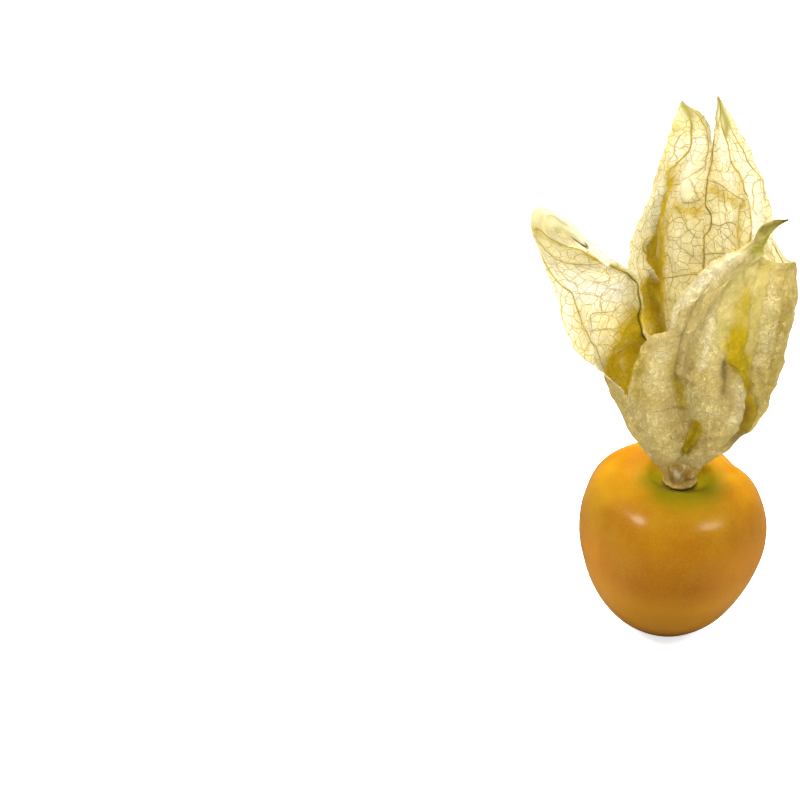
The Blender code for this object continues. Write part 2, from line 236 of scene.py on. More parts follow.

# The five sepals, counter-clockwise from above. A place on one is (u, v): u goes across it from 0 at its
# first rib to 1 at its last, and v goes along it from 0 at the foot ring to 1 at the tip.
#   ribs    the lines that the sheet is stretched over, each from just above the foot ring to the tip
#   grown   for each side, the first and last row of the ribs that is joined to the neighbour
#   folds   the height of its folds, where it isn't the usual one
#   veins   the main veins: half width in mm, places, and for one in painted shade how dark it is where it starts
#   relief  strokes that push the sheet out, or draw it in where the strength is below 0
#   bare    strokes where the matte outer skin has come off
#   amber, pale, green, brown    strokes of colour. Amber is painted shade in folds, pockets, slits and overlaps,
#   pale is painted light where one layer glows with light behind it and along lit ridges and margins, and
#   brown is dark tips and painted shade in grooves, slits and under overlapping edges
#   plain   strokes where the net of fine veins doesn't show
# A stroke is its strength, its radius in mm, its places, and for a one-sided stroke the side: 1 for the side
# of larger u when the places run from the tip to the foot, and -1 for the other.
SEPALS = {
    "sepal_front": {
        "ribs": [
            SEAM_FRONT_LEFT + [(-3.7, -6.6, 40.3), (-1.4, -6.6, 41.6), (0.0, -5.9, 45.7),
                               (2.6, -5.2, 48.9), (6.9, -3.7, 51.5), (8.5, -4.4, 54.3), (10.9, -4.5, 55.1)],
            [(-0.7, -4.1, 23.9), (-1.6, -7.3, 29.2), (-2.4, -8.0, 35.0), (-1.2, -8.3, 40.6),
             (0.3, -8.0, 43.2), (1.8, -7.1, 46.6), (4.0, -5.8, 49.4), (7.3, -4.0, 51.7),
             (8.7, -4.9, 54.2), (10.9, -4.6, 54.9)],
            [(0.8, -3.4, 23.9), (1.2, -5.8, 28.8), (0.9, -6.8, 35.0), (1.2, -7.4, 41.2),
             (2.5, -7.4, 44.4), (3.7, -6.8, 47.3), (5.4, -5.7, 49.6), (7.6, -4.2, 51.8),
             (8.8, -5.0, 54.0), (10.9, -4.6, 54.9)],
            [(2.0, -3.6, 23.6), (4.2, -6.2, 29.0), (4.3, -8.1, 35.6), (4.7, -7.9, 41.0),
             (5.1, -7.3, 45.3), (6.0, -6.4, 48.4), (6.9, -5.3, 50.2), (8.0, -4.4, 51.9),
             (8.9, -4.9, 53.7), (10.9, -4.6, 54.8)],
            [(2.9, -3.1, 23.0), (6.4, -4.1, 28.7), (7.2, -5.7, 34.2)] + SEAM_FRONT_RIGHT[3:]
            + [(8.1, -4.3, 50.4), (8.6, -4.4, 51.8), (9.4, -4.6, 53.5), (10.9, -4.5, 54.7)],
        ],
        "grown": ((0, 3), (4, 6)),
        "folds": 0.30,
        "veins": [
            (0.10, [(0.52, 0.14), (0.55, 0.3), (0.5, 0.45), (0.52, 0.6), (0.6, 0.75), (0.6, 0.9)]),
            (0.07, [(0.2, 0.1), (0.2, 0.3), (0.15, 0.45), (0.2, 0.6), (0.3, 0.75), (0.4, 0.88)]),
            (0.07, [(0.82, 0.1), (0.85, 0.3), (0.8, 0.45), (0.8, 0.62), (0.82, 0.78), (0.8, 0.9)]),
        ],
        "amber": [
            (1.0, 1.3, [(0.84, 0.52), (0.88, 0.48), (0.94, 0.455)]),
            (1.0, 1.6, [(0.90, 0.54), (0.95, 0.49)]),
            (1.0, 0.8, [(0.92, 0.45), (0.97, 0.42), (1.0, 0.38)]),
            (0.5, 1.6, [(0.97, 0.64), (0.94, 0.60), (0.92, 0.56)]),
            (0.2, 2.5, [(0.95, 0.80), (0.95, 0.66)]),
            (1.0, 0.95, [(0.59, 0.23), (0.58, 0.19), (0.57, 0.15)]),
            (1.0, 0.7, [(0.57, 0.15), (0.56, 0.11)]),
            (0.6, 0.8, [(0.40, 0.39), (0.44, 0.34), (0.46, 0.30)]),
            (0.35, 0.6, [(0.30, 0.50), (0.32, 0.44), (0.36, 0.39)]),
            (0.35, 1.2, [(0.04, 0.5), (0.06, 0.42), (0.1, 0.36)]),
            (0.3, 0.7, [(0.47, 0.28), (0.5, 0.24)]),
        ],
        "pale": [
            (0.9, 1.1, [(0.12, 0.70), (0.20, 0.76), (0.30, 0.80), (0.42, 0.82)]),
            (0.5, 0.8, [(0.06, 0.62), (0.08, 0.68), (0.14, 0.73)]),
            (0.5, 0.6, [(0.60, 0.60), (0.60, 0.52), (0.59, 0.44)]),
            (0.4, 0.9, [(0.92, 0.38), (0.94, 0.32), (0.93, 0.25)]),
            (0.3, 0.9, [(0.2, 0.5), (0.2, 0.4)]),
        ],
        "bare": [
            (1.0, 2.9, [(0.86, 0.73), (0.85, 0.66), (0.84, 0.59), (0.86, 0.54)]),
            (0.8, 1.0, [(0.90, 0.84), (0.86, 0.78), (0.84, 0.72)]),
            (1.0, 1.4, [(0.84, 0.50), (0.92, 0.475), (1.0, 0.455)]),
            (1.0, 0.7, [(0.94, 0.44), (1.0, 0.40)]),
            (1.0, 1.2, [(1.0, 0.86), (1.0, 0.7), (1.0, 0.6), (1.0, 0.46)]),
            (1.2, 0.4, [(0.59, 0.225), (0.575, 0.19), (0.565, 0.15), (0.56, 0.115)]),
            (1.2, 0.85, [(0.59, 0.225), (0.585, 0.19), (0.575, 0.155)]),
            (0.5, 0.6, [(0.80, 0.47), (0.785, 0.43), (0.775, 0.38)]),
        ],
        "green": [
            (1.0, 0.6, [(0.97, 0.94), (0.92, 0.89), (0.84, 0.86), (0.78, 0.83)]),
            (0.9, 1.6, [(0.5, 0.93), (0.5, 1.0)]),
        ],
        "brown": [
            (0.6, 0.4, [(0.25, 0.92), (0.25, 0.97), (0.4, 1.0)]),
            (0.8, 0.3, [(0.5, 0.97), (0.5, 1.0)]),
            (0.22, 0.9, [(0.47, 0.585), (0.44, 0.54), (0.42, 0.48), (0.43, 0.43)]),
            (0.14, 1.2, [(0.60, 0.70), (0.56, 0.63)]),
            (0.6, 0.45, [(0.78, 0.45), (0.775, 0.40), (0.785, 0.35)]),
            (0.35, 0.3, [(0.29, 0.70), (0.28, 0.655), (0.29, 0.60), (0.33, 0.54), (0.36, 0.46),
                         (0.38, 0.41), (0.49, 0.385)]),
            (0.3, 0.25, [(0.25, 0.30), (0.33, 0.305), (0.42, 0.30), (0.50, 0.295)]),
            (0.35, 0.2, [(0.56, 0.10), (0.5, 0.09), (0.44, 0.05)]),
            (0.2, 0.5, [(0.62, 0.16), (0.70, 0.17), (0.78, 0.19)]),
            (0.2, 0.2, [(0.6, 0.21), (0.68, 0.215), (0.75, 0.225)]),
        ],
        "relief": [
            (-0.35, 0.6, [(0.59, 0.23), (0.575, 0.19), (0.565, 0.15), (0.56, 0.1)]),
            (0.40, 1.3, FRONT_CREST, 1),
            (-0.30, 0.6, FRONT_CREST, -1),
            (0.45, 1.0, [(0.20, 0.66), (0.19, 0.58), (0.2, 0.5), (0.22, 0.38), (0.28, 0.25), (0.36, 0.14)]),
            (0.2, 0.9, [(0.60, 0.56), (0.60, 0.50), (0.60, 0.44)]),
            (-0.4, 1.4, [(0.86, 0.75), (0.84, 0.62), (0.84, 0.52), (0.88, 0.47)]),
            (-0.15, 0.8, [(0.48, 0.58), (0.47, 0.50), (0.47, 0.44)]),
            (-0.45, 0.8, [(0.78, 0.46), (0.775, 0.41), (0.79, 0.34)]),
            (0.25, 1.0, [(0.50, 0.295), (0.42, 0.30), (0.33, 0.305), (0.25, 0.30)], -1),
            (0.30, 1.5, [(0.60, 0.21), (0.56, 0.13), (0.52, 0.10)], 1),
            (0.35, 0.7, [(0.92, 0.38), (0.93, 0.3), (0.9, 0.22)]),
            (0.3, 0.6, [(0.08, 0.66), (0.14, 0.72), (0.2, 0.78)]),
            (0.35, 0.5, [(0.02, 0.80), (0.05, 0.76), (0.03, 0.70), (0.02, 0.64)]),
            (0.3, 0.9, [(0.3, 0.22), (0.33, 0.15), (0.4, 0.09)]),
        ],
    },
    "sepal_right": {
        "ribs": [
            SEAM_FRONT_RIGHT + [(8.1, -4.3, 50.4)],
            [(3.6, -1.3, 22.6), (7.6, -3.0, 28.0), (8.6, -5.0, 34.6), (9.4, -5.4, 40.0),
             (9.9, -5.2, 45.0), (9.9, -4.9, 48.4), (9.9, -4.6, 49.8)],
            [(4.0, 0.3, 22.4), (8.6, -0.6, 27.9), (10.7, -1.4, 33.9), (11.5, -1.8, 38.8),
             (12.1, -2.2, 43.4), (12.1, -2.2, 47.2), (12.0, -2.2, 48.7)],
            [(4.1, 1.7, 22.5), (7.8, 2.2, 27.2), (9.9, 2.2, 33.1), (10.9, 1.8, 38.4), (11.5, 1.0, 43.4),
             (11.3, 0.2, 46.4), (11.0, 0.1, 47.9)],
            [(3.9, 2.3, 22.6), (7.2, 3.4, 27.2), (9.5, 3.6, 33.0), (10.5, 3.3, 38.6), (10.9, 2.4, 43.2),
             (10.4, 1.3, 46.6), (9.0, 0.2, 50.7)],
            SEAM_BACK_RIGHT + [(8.8, 4.8, 33.0), (9.8, 4.6, 38.7), (9.9, 3.6, 43.0), (9.4, 2.4, 46.0),
                               (8.5, 1.4, 48.0)],
        ],
        "grown": ((4, 6), (0, 2)),
        "folds": 0.22,
        "veins": [
            (0.09, [(0.3, 0.06), (0.3, 0.2), (0.27, 0.5), (0.28, 0.8), (0.3, 0.97)]),
            (0.08, [(0.18, 0.3), (0.16, 0.5), (0.18, 0.75), (0.2, 0.97)]),
            (0.12, [(0.8, 0.05), (0.8, 0.5), (0.78, 0.8), (0.8, 0.99)]),
            (0.08, [(0.68, 0.7), (0.62, 0.85), (0.6, 0.97)]),
            (0.07, [(0.9, 0.8), (0.93, 0.9), (0.9, 0.97)]),
        ],
        "amber": [
            (0.8, 0.9, [(0.02, 0.62), (0.0, 0.56), (0.02, 0.50), (0.03, 0.45)]),
            (0.3, 0.9, [(0.06, 0.95), (0.05, 0.82), (0.03, 0.70)]),
            (0.32, 4.5, [(0.28, 0.98), (0.24, 0.83), (0.28, 0.6), (0.28, 0.35)]),
            (1.0, 1.1, [(0.06, 0.42), (0.10, 0.35), (0.13, 0.29)]),
        ],
        "bare": [
            (1.0, 1.2, [(0.06, 1.0), (0.05, 0.9), (0.03, 0.8), (0.03, 0.70), (0.0, 0.6), (0.0, 0.48)]),
            (1.0, 1.2, [(0.05, 0.42), (0.09, 0.35), (0.12, 0.29)]),
        ],
        "pale": [
            (0.4, 0.6, [(0.17, 0.9), (0.16, 0.8), (0.15, 0.68), (0.13, 0.6)]),
            (0.7, 2.0, [(0.75, 0.99), (0.7, 0.85)]),
        ],
        "brown": [
            (0.65, 1.2, [(0.06, 0.38), (0.10, 0.30), (0.14, 0.22)]),
            (0.3, 0.25, [(0.12, 0.57), (0.15, 0.5), (0.2, 0.44)]),
            (0.3, 0.25, [(0.3, 0.62), (0.28, 0.54), (0.3, 0.47)]),
        ],
        "relief": [
            (0.45, 0.8, [(0.18, 0.40), (0.18, 0.55), (0.19, 0.7), (0.22, 0.85)]),
            (-0.3, 0.5, [(0.28, 0.30), (0.29, 0.55), (0.30, 0.8)]),
            (0.25, 0.5, [(0.36, 0.25), (0.37, 0.5), (0.38, 0.8)]),
            (-0.25, 0.35, [(0.22, 0.62), (0.2, 0.54), (0.22, 0.46)]),
        ],
    },
    "sepal_back_right": {
        "ribs": [
            SEAM_BACK_RIGHT + [(8.0, 6.6, 34.8), (9.7, 7.8, 44.8), (9.2, 9.2, 50.3), (6.3, 11.0, 56.4),
                               (3.1, 11.4, 61.5)],
            [(2.8, 3.4, 22.8), (4.8, 4.4, 27.4), (6.0, 4.8, 35.7), (7.0, 5.6, 45.2), (6.6, 8.2, 50.3),
             (4.8, 11.2, 56.0), (3.05, 11.4, 61.6)],
            [(1.8, 3.7, 22.8), (3.2, 5.4, 26.9), (4.4, 8.2, 33.6), (4.8, 10.6, 41.3), (4.8, 12.4, 48.1),
             (3.7, 12.6, 55.3), (2.95, 11.4, 61.6)],
            SEAM_BACK + [(2.9, 11.4, 61.5)],
        ],
        "grown": ((0, 2), (0, 6)),
        "veins": [
            (0.15, [(0.48, 0.99), (0.45, 0.95), (0.45, 0.90), (0.42, 0.84), (0.40, 0.80), (0.33, 0.77),
                    (0.27, 0.745), (0.27, 0.715), (0.30, 0.685), (0.27, 0.65), (0.27, 0.61),
                    (0.3, 0.58), (0.32, 0.45), (0.4, 0.3)]),
            (0.13, [(0.97, 0.88), (0.97, 0.80), (1.0, 0.75), (1.0, 0.695), (0.985, 0.675),
                    (0.94, 0.655), (0.93, 0.635), (0.965, 0.615), (1.0, 0.595), (0.995, 0.53),
                    (0.99, 0.4), (0.98, 0.25)]),
            (0.10, [(1.0, 0.75), (0.88, 0.73), (0.78, 0.715), (0.62, 0.70), (0.42, 0.69), (0.33, 0.675)]),
            (0.09, [(0.83, 0.715), (0.79, 0.69), (0.77, 0.665), (0.78, 0.64), (0.70, 0.615), (0.62, 0.60)]),
            (0.09, [(0.93, 0.635), (0.85, 0.63), (0.77, 0.637), (0.65, 0.635), (0.55, 0.628)]),
            (0.09, [(0.82, 0.61), (0.70, 0.59), (0.62, 0.575), (0.62, 0.555)]),
            (0.10, [(1.0, 0.56), (0.88, 0.565), (0.75, 0.563), (0.66, 0.555), (0.5, 0.545)]),
            (0.09, [(0.25, 0.93), (0.2, 0.88), (0.14, 0.83), (0.11, 0.80), (0.03, 0.745), (0.03, 0.71),
                    (0.05, 0.68)]),
            (0.07, [(0.03, 0.745), (0.15, 0.73), (0.18, 0.69), (0.2, 0.665), (0.17, 0.645)]),
            (0.06, [(0.45, 0.90), (0.33, 0.875), (0.25, 0.85), (0.22, 0.81), (0.15, 0.80)]),
            (0.06, [(0.42, 0.84), (0.6, 0.83), (0.75, 0.84), (0.9, 0.83)]),
            (0.06, [(0.40, 0.80), (0.55, 0.78), (0.7, 0.77), (0.9, 0.775)]),
            (0.06, [(0.27, 0.745), (0.18, 0.76), (0.1, 0.755)]),
            (0.06, [(0.8, 0.5), (0.82, 0.56), (0.84, 0.60), (0.85, 0.63)]),
            (0.06, [(0.45, 0.95), (0.62, 0.92), (0.8, 0.90)]),
        ],
        "amber": [
            (0.75, 0.8, [(0.40, 0.675), (0.42, 0.64), (0.42, 0.60), (0.44, 0.56), (0.45, 0.5)]),
            (0.45, 0.7, [(0.95, 0.72), (0.80, 0.70), (0.6, 0.682)]),
            (0.5, 3.0, [(0.5, 0.40), (0.6, 0.25), (0.6, 0.1)]),
        ],
        "pale": [
            (1.0, 1.6, [(0.6, 0.86), (0.6, 0.80), (0.65, 0.74)]),
            (0.8, 1.0, [(0.2, 0.82), (0.18, 0.75), (0.16, 0.66), (0.2, 0.60)]),
            (0.5, 1.2, [(0.75, 0.66), (0.8, 0.60)]),
        ],
        "green": [
            (0.75, 0.3, [(0.5, 1.0), (0.35, 0.96), (0.28, 0.93), (0.33, 0.90), (0.4, 0.88)]),
            (0.6, 0.25, [(0.6, 1.0), (0.85, 0.95), (0.8, 0.91)]),
        ],
        "plain": [
            (0.9, 0.8, [(0.5, 1.0), (0.5, 0.93)]),
            (0.7, 0.8, [(0.2, 0.72), (0.18, 0.66), (0.2, 0.60)]),
        ],
        "relief": [
            (0.5, 0.8, [(0.9, 0.735), (0.78, 0.72), (0.62, 0.705), (0.42, 0.695), (0.32, 0.675)]),
            (-0.5, 0.6, [(0.38, 0.66), (0.40, 0.62), (0.40, 0.57)]),
            (0.5, 0.5, [(0.27, 0.70), (0.26, 0.64), (0.27, 0.58)]),
            (-0.5, 1.5, [(0.72, 0.80), (0.70, 0.86), (0.6, 0.92)]),
        ],
    },
    "sepal_back_left": {
        "ribs": [
            SEAM_BACK + [(1.7, 12.2, 58.6), (-0.8, 11.6, 60.7)],
            [(0.0, 3.7, 22.8), (0.2, 5.4, 26.6), (-0.5, 8.8, 33.0), (-1.1, 10.8, 41.0),
             (-0.7, 12.4, 47.8), (1.6, 12.5, 54.7), (0.9, 11.9, 58.6), (-0.85, 11.6, 60.7)],
            [(-0.8, 3.4, 22.8), (-1.2, 4.6, 27.2), (-2.9, 4.8, 36.0), (-3.8, 4.8, 44.2),
             (-3.4, 7.4, 50.6), (-0.6, 11.2, 55.2), (-0.9, 11.4, 58.6), (-0.95, 11.6, 60.7)],
            SEAM_BACK_LEFT + [(-5.0, 6.2, 34.4), (-6.2, 8.4, 42.0), (-4.7, 10.2, 48.9),
                              (-2.7, 11.0, 55.3), (-1.8, 11.3, 58.6), (-1.0, 11.6, 60.7)],
        ],
        "grown": ((0, 6), (0, 2)),
        "veins": [
            (0.15, [(0.5, 0.985), (0.5, 0.95), (0.47, 0.92), (0.5, 0.89), (0.49, 0.85), (0.55, 0.83),
                    (0.63, 0.815), (0.68, 0.795), (0.76, 0.783), (0.70, 0.755), (0.66, 0.735)]),
            (0.14, [(0.66, 0.735), (0.64, 0.70), (0.62, 0.665), (0.62, 0.625), (0.65, 0.60),
                    (0.70, 0.585), (0.72, 0.56), (0.71, 0.535), (0.68, 0.51), (0.61, 0.485),
                    (0.55, 0.472), (0.5, 0.42), (0.45, 0.3)]),
            (0.09, [(0.76, 0.783), (0.8, 0.75), (0.8, 0.715), (0.72, 0.68), (0.78, 0.64), (0.83, 0.60),
                    (0.77, 0.57), (0.79, 0.54), (0.82, 0.50), (0.79, 0.46), (0.8, 0.38)]),
            (0.07, [(0.97, 0.61), (0.83, 0.60)]),
            (0.07, [(0.98, 0.575), (0.88, 0.56), (0.78, 0.55)]),
            (0.06, [(0.95, 0.68), (0.85, 0.66), (0.78, 0.64)]),
            (0.08, [(0.62, 0.725), (0.45, 0.735), (0.33, 0.737), (0.22, 0.755), (0.15, 0.765),
                    (0.06, 0.79)]),
            (0.06, [(0.30, 0.737), (0.27, 0.71), (0.24, 0.69), (0.13, 0.685), (0.02, 0.69)]),
            (0.06, [(0.22, 0.755), (0.13, 0.73), (0.05, 0.69)]),
            (0.07, [(0.33, 0.665), (0.25, 0.67), (0.18, 0.645), (0.1, 0.605), (0.04, 0.585)]),
            (0.07, [(0.45, 0.64), (0.33, 0.625), (0.24, 0.64), (0.18, 0.645)]),
            (0.07, [(0.33, 0.625), (0.40, 0.61), (0.32, 0.58), (0.38, 0.55), (0.32, 0.54),
                    (0.27, 0.515), (0.25, 0.48), (0.28, 0.455), (0.38, 0.42), (0.35, 0.35)]),
            (0.07, [(0.10, 0.605), (0.20, 0.58), (0.18, 0.565), (0.10, 0.545), (0.02, 0.52)]),
            (0.08, [(0.52, 0.47), (0.40, 0.475), (0.27, 0.48), (0.10, 0.487), (0.0, 0.49)]),
            (0.06, [(0.32, 0.58), (0.2, 0.58)]),
            (0.07, [(0.50, 0.895), (0.58, 0.90), (0.68, 0.895), (0.78, 0.88), (0.82, 0.855),
                    (0.80, 0.83), (0.84, 0.81), (0.82, 0.79), (0.76, 0.783)]),
            (0.06, [(0.68, 0.795), (0.72, 0.82), (0.80, 0.83)]),
            (0.06, [(0.49, 0.85), (0.62, 0.855), (0.72, 0.85), (0.82, 0.855)]),
            (0.08, [(0.3, 0.985), (0.18, 0.945), (0.15, 0.92), (0.12, 0.87), (0.08, 0.83), (0.05, 0.78)]),
            (0.06, [(0.49, 0.875), (0.38, 0.88), (0.25, 0.878), (0.12, 0.875)]),
            (0.06, [(0.5, 0.84), (0.4, 0.82), (0.3, 0.80), (0.2, 0.79)]),
            (0.06, [(0.38, 0.42), (0.2, 0.42), (0.05, 0.43)]),
            (0.09, [(0.92, 0.43), (0.82, 0.445), (0.72, 0.455), (0.60, 0.462), (0.54, 0.468)]),
            (0.06, [(0.72, 0.455), (0.66, 0.41), (0.60, 0.37), (0.58, 0.3)]),
        ],
        "amber": [
            (0.85, 1.1, [(0.60, 0.735), (0.56, 0.70), (0.52, 0.65), (0.50, 0.61)]),
            (1.0, 3.0, [(0.64, 0.62), (0.68, 0.58), (0.71, 0.55), (0.70, 0.52), (0.63, 0.485),
                        (0.54, 0.46)], -1),
            (0.8, 1.4, [(0.48, 0.61), (0.44, 0.56), (0.42, 0.52), (0.42, 0.48)]),
            (0.6, 1.8, [(0.66, 0.72), (0.64, 0.68), (0.62, 0.64), (0.62, 0.61)], -1),
            (1.0, 3.0, [(0.92, 0.43), (0.72, 0.455), (0.54, 0.462)], 1),
            (1.0, 2.6, [(0.68, 0.42), (0.67, 0.36), (0.62, 0.2), (0.6, 0.1)]),
            (0.5, 0.7, [(0.30, 0.68), (0.18, 0.665), (0.05, 0.66)]),
            (0.35, 0.9, [(0.36, 0.64), (0.38, 0.58)]),
            (0.4, 0.8, [(0.75, 0.79), (0.7, 0.76)]),
            (0.3, 0.6, [(0.9, 0.92), (0.96, 0.84), (0.96, 0.76), (0.93, 0.66)]),
            (0.35, 0.25, [(0.90, 0.84), (0.88, 0.82)]),
        ],
        "pale": [
            (1.0, 1.5, [(0.32, 0.86), (0.30, 0.79), (0.22, 0.73)]),
            (0.7, 1.0, [(0.75, 0.87), (0.78, 0.82)]),
            (0.45, 1.0, [(0.2, 0.60), (0.15, 0.53)]),
        ],
        "green": [
            (0.7, 0.6, [(0.5, 1.0), (0.48, 0.97), (0.44, 0.95)]),
            (0.4, 0.4, [(0.1, 0.96), (0.02, 0.92), (0.0, 0.86)]),
            (0.35, 0.3, [(0.45, 0.93), (0.48, 0.90)]),
        ],
        "plain": [
            (0.8, 0.9, [(0.30, 0.79), (0.24, 0.74), (0.2, 0.71)]),
            (0.7, 0.7, [(0.5, 1.0), (0.48, 0.96)]),
        ],
        "brown": [
            (0.42, 2.0, [(0.74, 0.43), (0.66, 0.39), (0.62, 0.34), (0.6, 0.28)]),
            (0.35, 0.5, [(0.71, 0.56), (0.70, 0.52), (0.63, 0.485), (0.54, 0.46)], -1),
            (0.36, 1.5, [(0.62, 0.59), (0.60, 0.55), (0.56, 0.52), (0.52, 0.49)]),
        ],
        "relief": [
            (-0.5, 1.0, BACK_LEFT_FOLD, 1),
            (0.45, 1.2, BACK_LEFT_FOLD, -1),
            (0.2, 1.5, [(0.92, 0.43), (0.72, 0.455), (0.54, 0.462)], 1),
            (0.4, 1.2, [(0.2, 0.74), (0.25, 0.78), (0.3, 0.84)]),
            (-0.4, 0.5, [(0.25, 0.685), (0.12, 0.675), (0.0, 0.675)]),
            (0.4, 1.2, [(0.1, 0.6), (0.15, 0.52)]),
        ],
    },
    "sepal_left": {
        "ribs": [
            SEAM_BACK_LEFT + [(-3.1, 4.2, 33.0), (-4.0, 0.0, 38.2), (-4.3, 1.4, 41.6),
                              (-5.3, 2.2, 44.4), (-8.2, 1.0, 46.6), (-10.5, 1.2, 48.3),
                              (-12.8, 0.0, 50.4), (-12.3, -3.0, 51.0), (-8.1, -3.6, 48.0)],
            [(-1.7, 2.3, 22.7), (-2.6, 3.3, 26.2), (-3.3, 3.4, 33.2), (-4.3, -1.5, 38.7),
             (-4.6, 0.2, 42.0), (-5.6, 1.0, 45.0), (-9.8, -0.2, 47.8), (-13.6, -1.2, 49.5),
             (-14.8, -2.6, 52.0), (-12.8, -3.4, 51.7), (-8.0, -3.7, 48.1)],
            [(-1.9, 1.6, 22.6), (-3.5, 2.2, 26.2), (-5.6, 1.9, 33.2), (-6.0, -1.8, 38.2),
             (-7.2, -2.0, 42.3), (-9.0, -1.6, 45.6), (-12.2, -1.8, 47.9), (-14.6, -1.8, 50.1),
             (-15.4, -2.8, 52.6), (-13.2, -3.5, 52.4), (-7.9, -3.8, 48.3)],
            [(-2.1, 0.4, 22.6), (-4.8, 0.2, 26.6), (-7.4, -0.6, 33.0), (-8.0, -2.8, 37.4),
             (-9.6, -3.6, 41.4), (-11.6, -3.4, 45.4), (-14.0, -2.6, 48.2), (-15.4, -2.1, 50.7),
             (-15.9, -3.0, 53.2), (-13.6, -3.6, 53.2), (-7.8, -3.8, 48.5)],
            [(-2.2, -1.4, 22.8), (-5.0, -2.4, 27.0), (-7.4, -3.2, 32.4), (-8.8, -4.4, 36.6),
             (-10.9, -4.4, 40.0), (-13.0, -4.0, 45.2), (-15.0, -3.0, 48.8), (-16.0, -2.4, 51.3),
             (-16.2, -3.1, 53.6), (-14.0, -3.6, 53.9), (-7.7, -3.8, 48.8)],
            SEAM_FRONT_LEFT + [(-8.8, -5.4, 36.4), (-11.9, -5.0, 38.8), (-14.0, -4.0, 45.1),
                               (-15.6, -3.0, 49.0), (-16.5, -2.6, 51.8), (-16.3, -3.2, 53.7),
                               (-14.3, -3.6, 54.5), (-7.6, -3.8, 49.0)],
        ],
        "grown": ((0, 2), (0, 3)),
        "veins": [
            (0.19, [(0.02, 0.303), (0.03, 0.329), (0.12, 0.374), (0.19, 0.405), (0.16, 0.445),
                    (0.12, 0.472), (0.1, 0.525), (0.15, 0.561), (0.23, 0.587), (0.28, 0.605)], 1.0),
            (0.09, [(0.15, 0.56), (0.21, 0.593), (0.28, 0.62), (0.36, 0.665), (0.38, 0.69),
                    (0.46, 0.71), (0.55, 0.73), (0.72, 0.745), (0.84, 0.745), (0.96, 0.73)]),
            (0.12, [(0.99, 0.667), (0.97, 0.632), (0.94, 0.605), (0.9, 0.583), (0.84, 0.561),
                    (0.82, 0.525), (0.8, 0.498), (0.79, 0.472), (0.8, 0.449), (0.8, 0.423),
                    (0.82, 0.392), (0.75, 0.311), (0.7, 0.178)]),
            (0.06, [(0.79, 0.472), (0.83, 0.49), (0.88, 0.498), (0.96, 0.525)]),
            (0.07, [(0.72, 0.454), (0.70, 0.467), (0.66, 0.49), (0.55, 0.481), (0.45, 0.476),
                    (0.38, 0.485), (0.3, 0.481)]),
            (0.06, [(0.55, 0.481), (0.57, 0.507), (0.55, 0.534)]),
            (0.06, [(0.82, 0.561), (0.68, 0.543), (0.55, 0.525), (0.45, 0.534), (0.35, 0.521)]),
            (0.06, [(0.92, 0.494), (0.95, 0.472), (0.93, 0.449), (0.88, 0.436)]),
            (0.07, [(0.3, 0.614), (0.4, 0.592), (0.42, 0.57), (0.5, 0.561), (0.62, 0.57)]),
            (0.08, [(0.95, 0.721), (0.85, 0.69), (0.77, 0.667), (0.67, 0.654), (0.6, 0.645),
                    (0.5, 0.632), (0.4, 0.623)]),
            (0.06, [(0.77, 0.667), (0.83, 0.632), (0.82, 0.596), (0.75, 0.579)]),
            (0.06, [(0.6, 0.645), (0.62, 0.614), (0.55, 0.596), (0.5, 0.579)]),
            (0.06, [(0.23, 0.587), (0.3, 0.57), (0.42, 0.57)]),
            (0.06, [(0.9, 0.583), (0.96, 0.561), (0.98, 0.534)]),
            (0.08, [(0.16, 0.445), (0.3, 0.436), (0.42, 0.418), (0.5, 0.392), (0.6, 0.374)]),
            (0.07, [(0.12, 0.374), (0.25, 0.365), (0.38, 0.338), (0.5, 0.32)]),
            (0.07, [(0.8, 0.423), (0.68, 0.409), (0.58, 0.392), (0.5, 0.356), (0.45, 0.267),
                    (0.42, 0.134)]),
            (0.06, [(0.79, 0.472), (0.66, 0.445), (0.55, 0.436), (0.42, 0.418)]),
            (0.06, [(0.93, 0.449), (0.85, 0.445), (0.8, 0.449)]),
            (0.035, [(0.75, 0.819), (0.73, 0.845), (0.7, 0.881)]),
        ],
        "amber": [
            (0.35, 1.3, [(0.10, 0.545), (0.13, 0.50), (0.2, 0.46)]),
            (0.28, 3.4, [(0.25, 0.46), (0.42, 0.42), (0.58, 0.34), (0.62, 0.26)]),
            (0.75, 1.9, [(0.2, 0.44), (0.28, 0.41), (0.36, 0.36), (0.4, 0.30), (0.42, 0.2)]),
            (0.75, 1.8, [(0.28, 0.42), (0.38, 0.40), (0.48, 0.36), (0.52, 0.30), (0.5, 0.2)]),
            (0.9, 1.7, [(0.15, 0.43), (0.2, 0.37), (0.25, 0.30), (0.28, 0.2)]),
            (0.45, 0.5, [(0.28, 0.61), (0.36, 0.655), (0.38, 0.68), (0.46, 0.70), (0.55, 0.72),
                         (0.84, 0.735)]),
            (0.4, 0.9, [(0.95, 0.73), (0.84, 0.74), (0.75, 0.735)]),
        ],
        "pale": [
            (1.0, 1.9, [(0.80, 0.57), (0.65, 0.55), (0.5, 0.535), (0.38, 0.525)]),
            (0.7, 0.8, [(0.95, 0.585), (0.94, 0.535), (0.95, 0.49)]),
            (0.4, 1.0, [(0.72, 0.49), (0.70, 0.445)]),
            (1.0, 1.1, [(0.95, 0.83), (0.95, 0.88), (0.95, 1.0)]),
            (1.0, 1.8, [(0.5, 0.94), (0.5, 1.0)]),
        ],
        "green": [
            (0.25, 2.0, [(0.8, 0.765), (0.8, 0.819), (0.75, 0.89)]),
            (0.35, 1.0, [(0.3, 0.801), (0.3, 0.89)]),
        ],
        "plain": [
            (1.0, 2.6, [(0.8, 0.774), (0.7, 0.819), (0.6, 0.89)]),
            (1.0, 1.6, [(0.2, 0.801), (0.2, 0.89)]),
        ],
        "brown": [
            (1.0, 0.36, [(0.0, 0.862), (0.03, 0.88), (0.06, 0.902), (0.10, 0.912)]),
            (0.9, 0.24, [(0.10, 0.912), (0.3, 0.925), (0.42, 0.925)]),
            (0.35, 0.3, [(0.15, 0.56), (0.21, 0.59), (0.28, 0.615)]),
